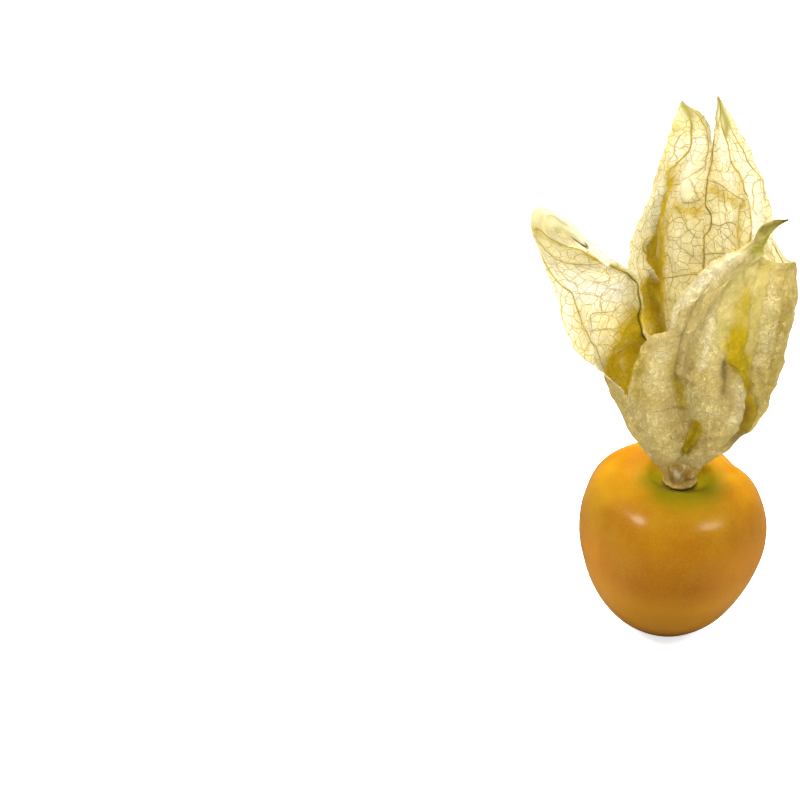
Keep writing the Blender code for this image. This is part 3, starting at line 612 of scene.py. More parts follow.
        ],
        "relief": [
            (0.4, 1.3, [(0.75, 0.534), (0.7, 0.49), (0.68, 0.445)]),
            (-0.5, 1.6, [(0.45, 0.552), (0.42, 0.516), (0.35, 0.463), (0.4, 0.401)]),
            (0.35, 0.7, [(0.18, 0.552), (0.2, 0.498), (0.22, 0.436)]),
            (-0.3, 1.0, [(0.9, 0.552), (0.88, 0.507), (0.86, 0.472)]),
            (0.3, 0.8, [(0.75, 0.65), (0.6, 0.623), (0.5, 0.605)]),
        ],
    },
}
ORDER = list(SEPALS)


# ---------------------------------------------------------------------------------- settings


def colour_property(name, description, default):
    return FloatVectorProperty(
        name=name, description=description, subtype="COLOR", default=default, min=0, max=1
    )


class BerrySettings(bpy.types.PropertyGroup):
    sectors: IntProperty(name="Sectors", description="Steps around the berry", default=200, min=16)
    ring_steps: IntProperty(
        name="Ring steps", description="Rings between two rows of the profile", default=12, min=1
    )
    lobe_depth: FloatProperty(
        name="Lobe depth", description="How deep the side groove cuts", default=0.075
    )
    flesh: colour_property("Flesh", "Ripe skin", (0.25, 0.080, 0.0003))
    # Pale: painted light, the skin made paler towards the top in patches, as the shoulders catch the lights.
    pale: colour_property("Pale", "Lighter skin of the shoulders", (0.335, 0.172, 0.003))
    green: colour_property("Green", "Unripe halo at the stalk", (0.16, 0.15, 0.001))


class HuskSettings(bpy.types.PropertyGroup):
    sheet: FloatProperty(
        name="Sheet", description="Thickness of the dry husk", default=0.00012, unit="LENGTH", min=0.00002
    )
    columns: IntProperty(name="Columns", description="Faces across a sepal", default=90, min=8)
    rows: IntProperty(name="Rows", description="Faces along a sepal", default=280, min=16)
    cell: colour_property("Cell", "Dry membrane between the veins", (0.99, 0.965, 0.72))
    # Amber paints shade: the deeper yellow of folds, pockets, slits and overlaps, where shade falls and
    # light comes through more than one layer.
    amber: colour_property("Amber", "Deeper membrane in folds", (0.74, 0.54, 0.016))
    vein: colour_property("Vein", "Veins of the inner face", (0.50, 0.38, 0.03))
    outer: colour_property("Outer", "Matte outer face", (0.70, 0.565, 0.22))


class StageSettings(bpy.types.PropertyGroup):
    lens: FloatProperty(name="Lens", description="Focal length in millimetres", default=169.2, min=1)
    distance: FloatProperty(
        name="Distance", description="Camera to the aim point", default=0.42, unit="LENGTH"
    )
    elevation: FloatProperty(
        name="Elevation",
        description="Camera above the horizon",
        default=math.radians(30),
        unit="ROTATION",
    )


class PhysalisSettings(bpy.types.PropertyGroup):
    berry: PointerProperty(type=BerrySettings)
    husk: PointerProperty(type=HuskSettings)
    stage: PointerProperty(type=StageSettings)


def settings():
    return getattr(bpy.context.scene, SETTINGS)


# ---------------------------------------------------------------------------------- small helpers


def smoothstep(low, high, x):
    t = np.clip((x - low) / (high - low), 0.0, 1.0)
    return t * t * (3 - 2 * t)


def through(points, where):
    """A smooth curve from an array's second point to its last but one, at positions from 0 to 1."""
    spans = len(points) - 3
    at = np.clip(where, 0.0, 1.0) * spans
    first = np.minimum(at.astype(int), spans - 1)
    f = (at - first).reshape((-1,) + (1,) * (points.ndim - 1))
    p0, p1, p2, p3 = (points[first + k] for k in range(4))
    slope = p2 - p0
    bend = 2 * p0 - 5 * p1 + 4 * p2 - p3
    twist = 3 * p1 - p0 - 3 * p2 + p3
    return 0.5 * (2 * p1 + slope * f + bend * f**2 + twist * f**3)


def spline(points, where):
    """A smooth curve through all the points of an array, at positions from 0 to 1."""
    before = 2 * points[0] - points[1]
    after = 2 * points[-1] - points[-2]
    return through(np.concatenate([[before], points, [after]]), where)


def smooth_line(uv, per_span):
    """A spline through (u, v) places, with so many steps from each one to the next."""
    uv = np.array(uv, float)
    return spline(uv, np.linspace(0, 1, per_span * (len(uv) - 1) + 1))


def even_places(points, count):
    """Positions from 0 to 1 on a spline that are evenly spaced along it, and its length."""
    fine = np.linspace(0, 1, 400)
    steps = np.linalg.norm(np.diff(spline(points, fine), axis=0), axis=-1)
    while steps.ndim > 1:
        steps = steps.mean(-1)
    run = np.concatenate([[0], np.cumsum(steps)])
    return np.interp(np.linspace(0, run[-1], count), run, fine), run[-1]


def unit(vectors):
    return vectors / np.maximum(np.linalg.norm(vectors, axis=-1, keepdims=True), 1e-9)


def noise_field(points, size, seed=0.0, kind="plain"):
    """Perlin noise at points in mm, with cells of that size. Folded noise has sharp ridges, as paper has."""
    shift = Vector((seed * 7.31, seed * 3.17, seed * 5.73))
    flat = points.reshape(-1, 3) / size
    values = np.array([noise.noise(Vector(p) + shift) for p in flat]).reshape(points.shape[:-1])
    if kind == "folded":
        return 1 - 2.6 * np.abs(values)
    return values


def spin_outline(outline, steps):
    """A closed shape made by spinning an outline of (radius, height) about the z axis."""
    bm = bmesh.new()
    verts = [bm.verts.new((r, 0.0, z)) for r, z in outline]
    edges = [bm.edges.new(pair) for pair in zip(verts, verts[1:])]
    bmesh.ops.spin(
        bm,
        geom=verts + edges,
        cent=(0, 0, 0),
        axis=(0, 0, 1),
        angle=math.tau,
        steps=steps,
        use_merge=True,
    )
    bmesh.ops.remove_doubles(bm, verts=bm.verts, dist=1e-4)
    bmesh.ops.recalc_face_normals(bm, faces=bm.faces)
    return bm


def vert_places(bm):
    return np.array([vert.co[:] for vert in bm.verts])


def move_verts(bm, places):
    for vert, place in zip(bm.verts, places):
        vert.co = place


def finish_piece(name, bm, nodes, materials):
    """Makes the object in metres, with its materials and its body, and hides the CAD nodes that it stands
    for.
    """
    bmesh.ops.scale(bm, vec=(MM, MM, MM), verts=bm.verts)
    mesh = bpy.data.meshes.new(name)
    bm.to_mesh(mesh)
    bm.free()
    mesh.shade_smooth()
    for each in materials:
        mesh.materials.append(each)
    obj = bpy.data.objects.new(name, mesh)
    bpy.context.scene.collection.objects.link(obj)
    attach(obj, "root")
    if nodes:
        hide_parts(*nodes)
    return obj


def add_attribute(mesh, name, values):
    layer = mesh.attributes.new(name, "FLOAT", "POINT")
    layer.data.foreach_set("value", np.asarray(values, np.float32).ravel())


# ---------------------------------------------------------------------------------- node helpers


class Nodes:
    """A short way to write a node tree: each call adds what it names and gives its output."""

    def __init__(self, tree):
        self.tree = tree

    def add(self, kind, inputs=None, **properties):
        node = self.tree.nodes.new(kind)
        for key, value in properties.items():
            setattr(node, key, value)
        for key, value in (inputs or {}).items():
            self.feed(value, node.inputs[key])
        return node

    def feed(self, value, socket):
        """Links an output to a socket, or sets a plain value on it."""
        if isinstance(value, bpy.types.NodeSocket):
            self.tree.links.new(value, socket)
        else:
            socket.default_value = value

    def math(self, operation, a, b=0.0, clamp=False):
        return self.add("ShaderNodeMath", {0: a, 1: b}, operation=operation, use_clamp=clamp).outputs[0]

    def vector_math(self, operation, a, b):
        return self.add("ShaderNodeVectorMath", {0: a, 1: b}, operation=operation).outputs[0]

    def scale(self, vector, factor):
        return self.add("ShaderNodeVectorMath", {0: vector, "Scale": factor}, operation="SCALE").outputs[0]

    def stretch(self, vector, scale):
        return self.add("ShaderNodeMapping", {"Vector": vector, "Scale": scale}).outputs[0]

    def ramp(self, value, low, high, start=0.0, end=1.0):
        return self.add(
            "ShaderNodeMapRange",
            {"Value": value, "From Min": low, "From Max": high, "To Min": start, "To Max": end},
            interpolation_type="SMOOTHSTEP",
        ).outputs["Result"]

    def mix(self, factor, a, b, blend="MIX"):
        node = self.add("ShaderNodeMix", data_type="RGBA", blend_type=blend)
        for socket, value in ((0, factor), (6, a), (7, b)):
            self.feed(value, node.inputs[socket])
        return node.outputs[2]

    def mix_shaders(self, factor, a, b):
        return self.add("ShaderNodeMixShader", {0: factor, 1: a, 2: b}).outputs[0]

    def noise(self, vector, scale, detail=2.0, rough=0.5, distortion=0.0):
        values = {"Scale": scale, "Detail": detail, "Roughness": rough, "Distortion": distortion}
        return self.add("ShaderNodeTexNoise", {"Vector": vector, **values}).outputs["Fac"]

    def warp(self, place, scale, detail, reach):
        """The place moved about by soft noise, by up to half of reach."""
        soft = self.add("ShaderNodeTexNoise", {"Vector": place, "Scale": scale, "Detail": detail})
        centred = self.vector_math("SUBTRACT", soft.outputs["Color"], (0.5, 0.5, 0.5))
        return self.vector_math("ADD", place, self.scale(centred, reach))

    def attribute(self, name):
        return self.add("ShaderNodeAttribute", attribute_name=name).outputs["Fac"]

    def object_mm(self):
        """The place on the piece, in mm."""
        return self.scale(self.add("ShaderNodeTexCoord").outputs["Object"], 1 / MM)

    def sheet_mm(self):
        """The place on a sepal's own UV map, in mm."""
        return self.scale(self.add("ShaderNodeUVMap", uv_map="sheet").outputs["UV"], 1 / UV_PER_MM)

    def relief(self, height, strength, distance):
        return self.add(
            "ShaderNodeBump", {"Height": height, "Strength": strength, "Distance": distance}
        ).outputs[0]


def rgba(colour):
    return (*colour, 1.0)


def new_material(name):
    made = bpy.data.materials.new(name)
    made.use_nodes = True
    nodes = made.node_tree.nodes
    return made, Nodes(made.node_tree), nodes["Principled BSDF"], nodes["Material Output"]


def set_inputs(shader, values):
    for key, value in values.items():
        shader.inputs[key].default_value = value


def mask_group(name, masks):
    """Starts a node group that makes masks from a place in mm: its nodes, that place, and its way out."""
    group = bpy.data.node_groups.new(name, "ShaderNodeTree")
    group.interface.new_socket("Place", in_out="INPUT", socket_type="NodeSocketVector")
    for mask in masks:
        group.interface.new_socket(mask, in_out="OUTPUT", socket_type="NodeSocketFloat")
    entry = group.nodes.new("NodeGroupInput")
    leave = group.nodes.new("NodeGroupOutput")
    return Nodes(group), entry.outputs["Place"], leave


# ---------------------------------------------------------------------------------- husk finishes


def vein_net_group():
    """Masks of the vein net: coarse cells, the cells inside them, and the finest mesh."""
    found = bpy.data.node_groups.get("vein net")
    if found:
        return found
    n, place, leave = mask_group("vein net", [name for name, *_ in NET_SIZES])
    warped = n.warp(place, 0.5, 2.0, 1.1)
    for name, per_mm, width in NET_SIZES:
        cells = n.add(
            "ShaderNodeTexVoronoi",
            {"Vector": warped, "Scale": per_mm},
            voronoi_dimensions="2D",
            feature="DISTANCE_TO_EDGE",
        )
        distance = n.math("DIVIDE", cells.outputs["Distance"], per_mm)
        n.feed(n.ramp(distance, width * 0.3, width * 1.6, 1.0, 0.0), leave.inputs[name])
    return n.tree


def paper_crease_group():
    """Crumpled paper: facets that meet in creases, as a height in mm and a mask of the worn creases."""
    found = bpy.data.node_groups.get("paper creases")
    if found:
        return found
    n, place, leave = mask_group("paper creases", ("Height", "Worn"))
    longer = n.stretch(n.warp(place, 0.7, 3.0, 1.6), (1.0, 0.6, 1.0))
    facets = n.add("ShaderNodeTexVoronoi", {"Vector": longer, "Scale": 0.55}, voronoi_dimensions="2D")
    height = n.math("MULTIPLY", facets.outputs["Distance"], 0.7)
    lines = []
    for per_mm, width, depth in CREASE_SIZES:
        wave = n.noise(longer, per_mm, 2.0, 0.6, 1.2)
        line = n.ramp(n.math("ABSOLUTE", n.math("SUBTRACT", wave, 0.5)), 0.0, width, 1.0, 0.0)
        height = n.math("ADD", height, n.math("MULTIPLY", line, depth))
        lines.append(line)
    n.feed(height, leave.inputs["Height"])
    worn = n.math("MAXIMUM", n.math("MAXIMUM", lines[0], lines[1]), n.math("MULTIPLY", lines[2], 0.8))
    n.feed(worn, leave.inputs["Worn"])
    return n.tree


def paper_thread_group():
    """A mask of fine pale threads that lie three ways over a sheet, in patches."""
    found = bpy.data.node_groups.get("paper threads")
    if found:
        return found
    n, place, leave = mask_group("paper threads", ("Threads",))
    warped = n.warp(place, 0.9, 2.0, 1.2)
    total = 0.0
    for turn, shift in ((0.35, 0.0), (1.35, 30.0), (2.4, 60.0)):
        lying = n.add(
            "ShaderNodeMapping",
            {
                "Vector": warped,
                "Location": (shift, 0.0, 0.0),
                "Rotation": (0.0, 0.0, turn),
                "Scale": (2.1, 0.25, 1.0),
            },
            vector_type="TEXTURE",
        ).outputs[0]
        thread = n.ramp(n.noise(lying, 1.0, 3.0, 0.6), 0.52, 0.61)
        moved = n.add("ShaderNodeMapping", {"Vector": place, "Location": (shift, shift, 0.0)}).outputs[0]
        patch = n.ramp(n.noise(moved, 0.45, 1.0), 0.40, 0.55)
        total = n.math("MAXIMUM", total, n.math("MULTIPLY", thread, patch))
    n.feed(total, leave.inputs["Threads"])
    return n.tree


def net_and_veins(n, place, hidden, face):
    """How strongly a vein shows: the net, which is left out where it is hidden, and the main veins."""
    net = n.add("ShaderNodeGroup", {"Place": place}, node_tree=vein_net_group())
    coarse, medium, fine = (
        n.math("MULTIPLY", net.outputs[name], strength)
        for (name, *_), strength in zip(NET_SIZES, face["net"])
    )
    netted = n.math("MAXIMUM", n.math("MAXIMUM", coarse, medium), fine)
    netted = n.math("MULTIPLY", netted, n.math("SUBTRACT", 1.0, hidden))
    main_veins = n.math("MULTIPLY", n.attribute("vein"), face["main veins"])
    return n.math("MAXIMUM", netted, main_veins, clamp=True)


def matte_skin(n, place, worn, cell, bare):
    """The outer face: pale threads and worn creases on dull paper, and the smooth layer where it is bare."""
    threads = n.add("ShaderNodeGroup", {"Place": place}, node_tree=paper_thread_group()).outputs["Threads"]
    raised = n.math("MAXIMUM", threads, n.math("MULTIPLY", worn, 0.7))
    dull = n.mix(1.0, cell, rgba(DULL_TINT), "MULTIPLY")
    light = n.mix(1.0, cell, rgba(LIGHT_TINT), "MULTIPLY")
    cell = n.mix(raised, dull, light)
    patch = n.ramp(n.noise(place, 0.4, 3.0), 0.38, 0.62)
    smooth = n.mix(patch, rgba(SMOOTH_DEEP), rgba(SMOOTH_LIGHT))
    return n.mix(bare, cell, smooth)


def husk_material(name, inner):
    """Dry membrane: light comes through it, its veins are darker, painted shade darkens its folds and
    painted light brightens its single layers and lit ridges.
    """
    husk = settings().husk
    face = INNER_FACE if inner else OUTER_FACE
    made, n, shader, out = new_material(name)
    place = n.sheet_mm()
    creases = n.add("ShaderNodeGroup", {"Place": place}, node_tree=paper_crease_group())
    blotch = n.math("SUBTRACT", n.noise(place, 1.1, 4.0, 0.65), 0.5)
    bare = n.ramp(n.math("ADD", n.attribute("bare"), n.math("MULTIPLY", blotch, 1.1)), 0.3, 0.8)
    hidden = n.math("MAXIMUM", n.attribute("plain"), 0.0 if inner else bare)
    veins = net_and_veins(n, place, hidden, face)

    base = husk.cell if inner else husk.outer
    mottled = n.ramp(n.noise(place, 0.22, 3.0, 0.6), 0.35, 0.7)
    cell = n.mix(mottled, rgba(c * k for c, k in zip(base, MOTTLE_TINT)), rgba(base))
    # Pale strokes paint light: the glow of one layer with light behind it, and lit ridges and margins.
    cell = n.mix(n.attribute("pale"), cell, rgba(face["pale"]))
    if not inner:
        cell = matte_skin(n, place, creases.outputs["Worn"], cell, bare)
    # Amber strokes paint shade in folds, pockets, slits and overlaps.
    ragged = n.math("ADD", n.math("MULTIPLY", blotch, 1.2), 1.0)
    stained = n.math("MULTIPLY", n.attribute("amber"), ragged)
    cell = n.mix(n.ramp(stained, 0.0, 0.8), cell, rgba(husk.amber if inner else OUTER_AMBER))
    cell = n.mix(n.attribute("green"), cell, rgba(STILL_GREEN))
    cell = n.mix(veins, cell, rgba(husk.vein if inner else OUTER_VEIN))
    # Brown strokes: dark tips and painted shade.
    cell = n.mix(n.attribute("brown"), cell, rgba(DARK_TIPS_AND_PAINTED_SHADE))
    fibre = n.noise(n.stretch(place, (5.0, 0.6, 1.0)), 1.2, 4.0, 0.65)
    streak = n.ramp(fibre, 0.3, 0.75, face["streak"], 1.04)
    grey = n.add("ShaderNodeCombineColor", {0: streak, 1: streak, 2: streak}).outputs[0]
    colour = n.mix(1.0, cell, grey, "MULTIPLY")
    n.feed(colour, shader.inputs["Base Color"])
    set_inputs(shader, {"Roughness": face["roughness"], "Specular IOR Level": 0.12})

    skin = n.math("SUBTRACT", 1.0, bare)
    crease_depth = 0.15 if inner else n.ramp(skin, 0.0, 1.0, 0.4, 1.1)
    crumpled = n.math("MULTIPLY", creases.outputs["Height"], crease_depth)
    ridged = n.math("MULTIPLY", veins, face["vein ridge"])
    height = n.math("ADD", n.math("ADD", crumpled, ridged), n.math("MULTIPLY", fibre, 0.04))
    relief = n.relief(height, 1.0, 0.001)
    n.feed(relief, shader.inputs["Normal"])
    glow = colour if inner else n.mix(0.6, colour, rgba(OUTER_GLOW))
    through_light = n.add("ShaderNodeBsdfTranslucent", {"Color": glow, "Normal": relief}).outputs[0]
    n.feed(n.mix_shaders(face["lets through"], shader.outputs[0], through_light), out.inputs["Surface"])
    return made


def vein_material():
    """The raised veins: woodier and darker than the membrane, still a little see-through."""
    husk = settings().husk
    made, n, shader, out = new_material("husk vein")
    patch = n.ramp(n.noise(n.object_mm(), 0.5, 3.0), 0.3, 0.7)
    colour = n.mix(patch, rgba(husk.vein), rgba(min(1.0, 1.5 * c) for c in husk.vein))
    # Painted shade: darkens the vein along the curled margin.
    colour = n.mix(n.attribute("dark"), colour, rgba(DARK_VEIN))
    n.feed(colour, shader.inputs["Base Color"])
    set_inputs(shader, {"Roughness": 0.6, "Specular IOR Level": 0.0})
    through_light = n.add("ShaderNodeBsdfTranslucent", {"Color": colour}).outputs[0]
    n.feed(n.mix_shaders(0.5, shader.outputs[0], through_light), out.inputs["Surface"])
    return made


# ---------------------------------------------------------------------------------- berry


def berry_swell(azimuth, height, depth):
    """How far the skin stands out at an azimuth: two lobes with a groove at each side, and faint ribs."""
    shoulder = smoothstep(8.0, 18.0, height)
    groove = np.abs(np.cos(azimuth - GROOVE_SIDE)) ** GROOVE_SHARPNESS
    more = 0.5 + 0.5 * np.cos(azimuth - GROOVE_SIDE)
    ribs = 0.006 * np.cos(7 * azimuth + 0.6) + 0.004 * np.cos(11 * azimuth + 2.0)
    return 1.0 + shoulder * ribs - shoulder * depth * groove * (0.35 + 0.65 * more)


def build_berry_mesh():
    """The spun fruit, drawn off centre ring by ring, grooved, softly dented and tilted at the shoulders."""
    berry = settings().berry
    rows = np.array(BERRY_PROFILE)
    rings = spline(rows, np.linspace(0, 1, berry.ring_steps * (len(rows) - 1) + 1))
    bm = spin_outline([(0.0, 0.0), *((r, z) for r, z, _ in rings), (0.0, DIP_Z)], berry.sectors)
    place = vert_places(bm)
    x, y, z = place.T
    radius = np.hypot(x, y)
    gap = np.abs(rings[None, :, 1] - z[:, None]) + np.abs(rings[None, :, 0] - radius[:, None])
    drift = np.where(z > 0.001, rings[np.argmin(gap, axis=1), 2], 0.0)
    swell = berry_swell(np.arctan2(y, x), z, berry.lobe_depth)
    dents = 0.06 * noise_field(place, 6.0, 1.0) + 0.03 * noise_field(place, 2.6, 4.0)
    swell = swell + dents * smoothstep(1.0, 4.0, z) / ROUGH_RADIUS
    moved = np.column_stack([x * swell + drift, y * swell, z])
    moved[:, 2] += smoothstep(9.0, 17.0, z) * (0.06 * moved[:, 1] - 0.07 * moved[:, 0])
    move_verts(bm, moved)
    return bm


def berry_material():
    """Ripe skin: painted light makes the shoulders paler and the flanks and a low belt lighter, painted
    shade darkens the underside, and it has a green halo at the neck and fine specks.
    """
    berry = settings().berry
    made, n, shader, _ = new_material("berry skin")
    mm = n.object_mm()
    split = n.add("ShaderNodeSeparateXYZ", {0: mm})
    across, height = split.outputs["X"], split.outputs["Z"]
    # Painted light: paler towards the top, in patches.
    shoulder = n.math("MULTIPLY", n.ramp(height, 8.0, 19.0), n.ramp(n.noise(mm, 0.18), 0.3, 0.7, 0.25, 0.8))
    colour = n.mix(shoulder, rgba(berry.flesh), rgba(berry.pale))
    # Painted light: lighter towards the left and right sides.
    lit_flank = n.ramp(n.math("ABSOLUTE", across), 2.5, 10.0, 0.0, 0.95)
    lit_flank = n.math("MULTIPLY", lit_flank, n.ramp(height, 12.0, 17.0, 1.0, 0.0))
    colour = n.mix(lit_flank, colour, rgba(PAINTED_LIT_FLANK))
    tall = n.noise(n.stretch(mm, (1.0, 1.0, 0.35)), 0.28, 3.0)
    colour = n.mix(n.ramp(tall, 0.38, 0.70, 0.0, 0.24), colour, rgba(DEEP_FLESH))
    # Painted light: a band lit from the floor, from 1.5 to 12 mm up.
    bounce_light = n.math("MULTIPLY", n.ramp(height, 1.5, 4.0), n.ramp(height, 7.0, 12.0, 1.0, 0.0))
    colour = n.mix(n.math("MULTIPLY", bounce_light, 0.6), colour, rgba(PAINTED_BOUNCE_LIGHT))
    # Painted shade: darker towards the bottom.
    shaded_underside = n.ramp(height, 0.8, 3.2, 1.0, 0.0)
    colour = n.mix(n.math("MULTIPLY", shaded_underside, 0.85), colour, rgba(PAINTED_UNDERSIDE_SHADE))
    from_neck = n.add("ShaderNodeVectorMath", {0: mm, 1: HALO_CENTRE}, operation="DISTANCE").outputs["Value"]
    ragged = n.math("ADD", from_neck, n.math("MULTIPLY", n.noise(mm, 0.35), 2.4))
    halo = n.ramp(ragged, 4.2, 7.4, 1.0, 0.0)
    colour = n.mix(n.math("MULTIPLY", halo, 0.9), colour, rgba(berry.green))
    speck = n.noise(mm, 5.5, 3.0, 0.6)
    colour = n.mix(n.ramp(speck, 0.42, 0.66, 0.0, 0.14), colour, rgba(SPECK))
    n.feed(colour, shader.inputs["Base Color"])
    set_inputs(shader, BERRY_GLOSS)
    n.feed(n.relief(n.noise(mm, 2.2, 4.0, 0.6), 0.12, 0.00012), shader.inputs["Normal"])
    return made


# ---------------------------------------------------------------------------------- sepals


def rib_rows(name):
    """The sepal's ribs as an array of (rib, row, xyz), from the foot ring up."""
    index = ORDER.index(name)
    ribs = SEPALS[name]["ribs"]
    full = []
    for k, rib in enumerate(ribs):
        azimuth = FIRST_SEAM + SEPAL_ARC * (index + k / (len(ribs) - 1))
        rise = FOOT_TILT * math.cos(azimuth - FOOT_HIGH_SIDE)
        x = NECK_X + FOOT_RADIUS * math.cos(azimuth)
        y = NECK_Y + FOOT_RADIUS * math.sin(azimuth)
        full.append([(x, y, FOOT_Z + rise), *rib])
    return np.array(full)


def beyond(name, side):
    """The rib past the sepal's edge: the neighbour's next rib where they are joined, or straight on."""
    index = ORDER.index(name)
    ribs = rib_rows(name)
    edge, inner = (ribs[0], ribs[1]) if side == 0 else (ribs[-1], ribs[-2])
    past = 2 * edge - inner
    other_ribs = rib_rows(ORDER[(index + (-1 if side == 0 else 1)) % len(ORDER)])
    near = other_ribs[-2] if side == 0 else other_ribs[1]
    first, last = SEPALS[name]["grown"][side]
    past[first:last + 1] = near[first:last + 1]
    return past


class Sheet:
    """One sepal's sheet, without its thickness, as arrays of (column, row).

    points are its places and normals point out of the husk. u and v run from 0 to 1 across and along it, and
    side and run are the same in mm, with side measured from the middle.
    """

    def __init__(self, name, columns, rows):
        self.name = name
        self.index = ORDER.index(name)
        ribs = np.concatenate([[beyond(name, 0)], rib_rows(name), [beyond(name, 1)]])
        by_row = ribs.transpose(1, 0, 2)
        self.row_place, self.length = even_places(by_row[:, 1:-1], rows + 1)
        self.grown = [[row / (len(by_row) - 1) for row in pair] for pair in SEPALS[name]["grown"]]
        points, widths = [], []
        fine = np.linspace(0, 1, 200)
        for row in spline(by_row, self.row_place):
            steps = np.linalg.norm(np.diff(through(row, fine), axis=0), axis=1)
            run = np.concatenate([[0], np.cumsum(steps)])
            even = np.interp(np.linspace(0, run[-1], columns + 1), run, fine)
            points.append(through(row, even))
            widths.append(run[-1])
        self.points = np.array(points).transpose(1, 0, 2)
        self.width = np.array(widths)
        self.u = np.linspace(0, 1, columns + 1)[:, None] * np.ones(rows + 1)
        self.v = np.ones(columns + 1)[:, None] * np.linspace(0, 1, rows + 1)
        self.side = (self.u - 0.5) * self.width
        self.run = self.v * self.length
        self.update_normals()

    def update_normals(self):
        du = np.gradient(self.points, axis=0)
        dv = np.gradient(self.points, axis=1)
        self.normals = unit(np.cross(du, dv))

    def from_edge(self, side):
        """How far each point is from one side, in mm."""
        return (self.u if side == 0 else 1 - self.u) * self.width

    def free_edge(self, side):
        """0 in the rows where this side is still joined to the neighbour, 1 where it is free."""
        first, last = self.grown[side]
        free = smoothstep(last - 0.01, last + 0.07, self.row_place)
        if first > 0:
            free = np.maximum(free, 1 - smoothstep(first - 0.1, first - 0.01, self.row_place))
        return free

    def at(self, uv):
        """Points and normals of the sheet at an array of (u, v)."""
        columns, rows = self.u.shape[0] - 1, self.u.shape[1] - 1
        i = np.clip(uv[:, 0], 0, 1) * columns
        j = np.clip(uv[:, 1], 0, 1) * rows
        i0 = np.minimum(i.astype(int), columns - 1)
        j0 = np.minimum(j.astype(int), rows - 1)
        fi, fj = (i - i0)[:, None], (j - j0)[:, None]

        def mixed(field):
            low = field[i0, j0] * (1 - fi) + field[i0 + 1, j0] * fi
            high = field[i0, j0 + 1] * (1 - fi) + field[i0 + 1, j0 + 1] * fi
            return low * (1 - fj) + high * fj

        return mixed(self.points), unit(mixed(self.normals))

    def distance(self, uv):
        """How far along the sheet each point is from a smooth line through (u, v) places, in mm: that
        distance, and a number that is positive on the line's left and negative on its right."""
        line = smooth_line(uv, 8)
        s = (line[:, 0] - 0.5) * np.interp(line[:, 1], self.v[0], self.width)
        t = line[:, 1] * self.length
        best = np.full(self.u.shape, FAR)
        signed = np.zeros(self.u.shape)
        rows_per_mm = (self.v.shape[1] - 1) / self.length
        for s0, t0, s1, t1 in zip(s, t, s[1:], t[1:]):
            low = max(0, int((min(t0, t1) - REACH) * rows_per_mm))
            high = int((max(t0, t1) + REACH) * rows_per_mm) + 2
            ds, dt = s1 - s0, t1 - t0
            off_s, off_t = self.side[:, low:high] - s0, self.run[:, low:high] - t0
            f = np.clip((off_s * ds + off_t * dt) / max(ds * ds + dt * dt, 1e-9), 0, 1)
            gap = np.hypot(off_s - f * ds, off_t - f * dt)
            across = (ds * off_t - dt * off_s) / max(math.hypot(ds, dt), 1e-9)
            signed[:, low:high] = np.where(gap < best[:, low:high], across, signed[:, low:high])
            best[:, low:high] = np.minimum(best[:, low:high], gap)
        return best, signed

    def strokes(self, lines, combine=np.maximum):
        """A field made of the soft strokes that SEPALS describes."""
        total = np.zeros(self.u.shape)
        for strength, radius, uv, *one_sided in lines:
            gap, across = self.distance(uv)
            stroke = strength * np.exp(-((gap / radius) ** 2))
            for side in one_sided:
                stroke = stroke * smoothstep(-0.12, 0.12, across * side)
            total = combine(total, stroke)
        return total


def vein_mask(sheet):
    """How much of a vein lies under each point, from 0 to 1."""
    best = np.zeros(sheet.u.shape)
    for half_width, uv, *_ in SEPALS[sheet.name]["veins"]:
        gap, _ = sheet.distance(uv)
        best = np.maximum(best, np.exp(-((gap / (half_width * 1.1)) ** 2)))
    return best


def build_vein_mesh(sheet):
    """The raised veins of a sepal: thin cords on its inner face, a little wavy and drawn out at the ends."""
    bm = bmesh.new()
    rng = np.random.default_rng(60 + sheet.index)
    dark = bm.verts.layers.float.new("dark")
    for half_width, uv, *margin_shade in SEPALS[sheet.name]["veins"]:
        line = smooth_line(uv, 14)
        t = np.linspace(0, 1, len(line))
        line[:, 0] += 0.004 * np.sin(t * rng.uniform(20, 40) + rng.uniform(0, 6)) * np.sin(t * math.pi)
        points, normals = sheet.at(line)
        across = unit(np.cross(unit(np.gradient(points, axis=0)), normals))
        taper = 0.35 + 0.65 * np.sin(np.clip(t * 1.3 + 0.1, 0, 1) * math.pi / 2)
        radius = 0.85 * half_width * taper * (1 - 0.45 * t)
        radius *= 1 + 0.12 * np.sin(t * 37 + half_width * 90)
        radius[[0, -1]] = 0.0
        # The vein along a curled margin gets painted shade, darkest where it starts.
        darkness = (margin_shade[0] if margin_shade else 0.0) * (1.0 - 0.6 * t)
        count = len(line) - 1
        grid = bmesh.ops.create_grid(bm, x_segments=count, y_segments=VEIN_SIDES, size=0.5)["verts"]
        for vert in grid:
            i = round((vert.co.x + 0.5) * count)
            angle = math.tau * round((vert.co.y + 0.5) * VEIN_SIDES) / VEIN_SIDES
            offset = across[i] * math.cos(angle) + normals[i] * math.sin(angle) * 0.8
            vert.co = points[i] + offset * radius[i] - normals[i] * VEIN_LIFT
            vert[dark] = darkness[i]
    bmesh.ops.remove_doubles(bm, verts=bm.verts, dist=1e-5)
    bmesh.ops.recalc_face_normals(bm, faces=bm.faces)
    return bm


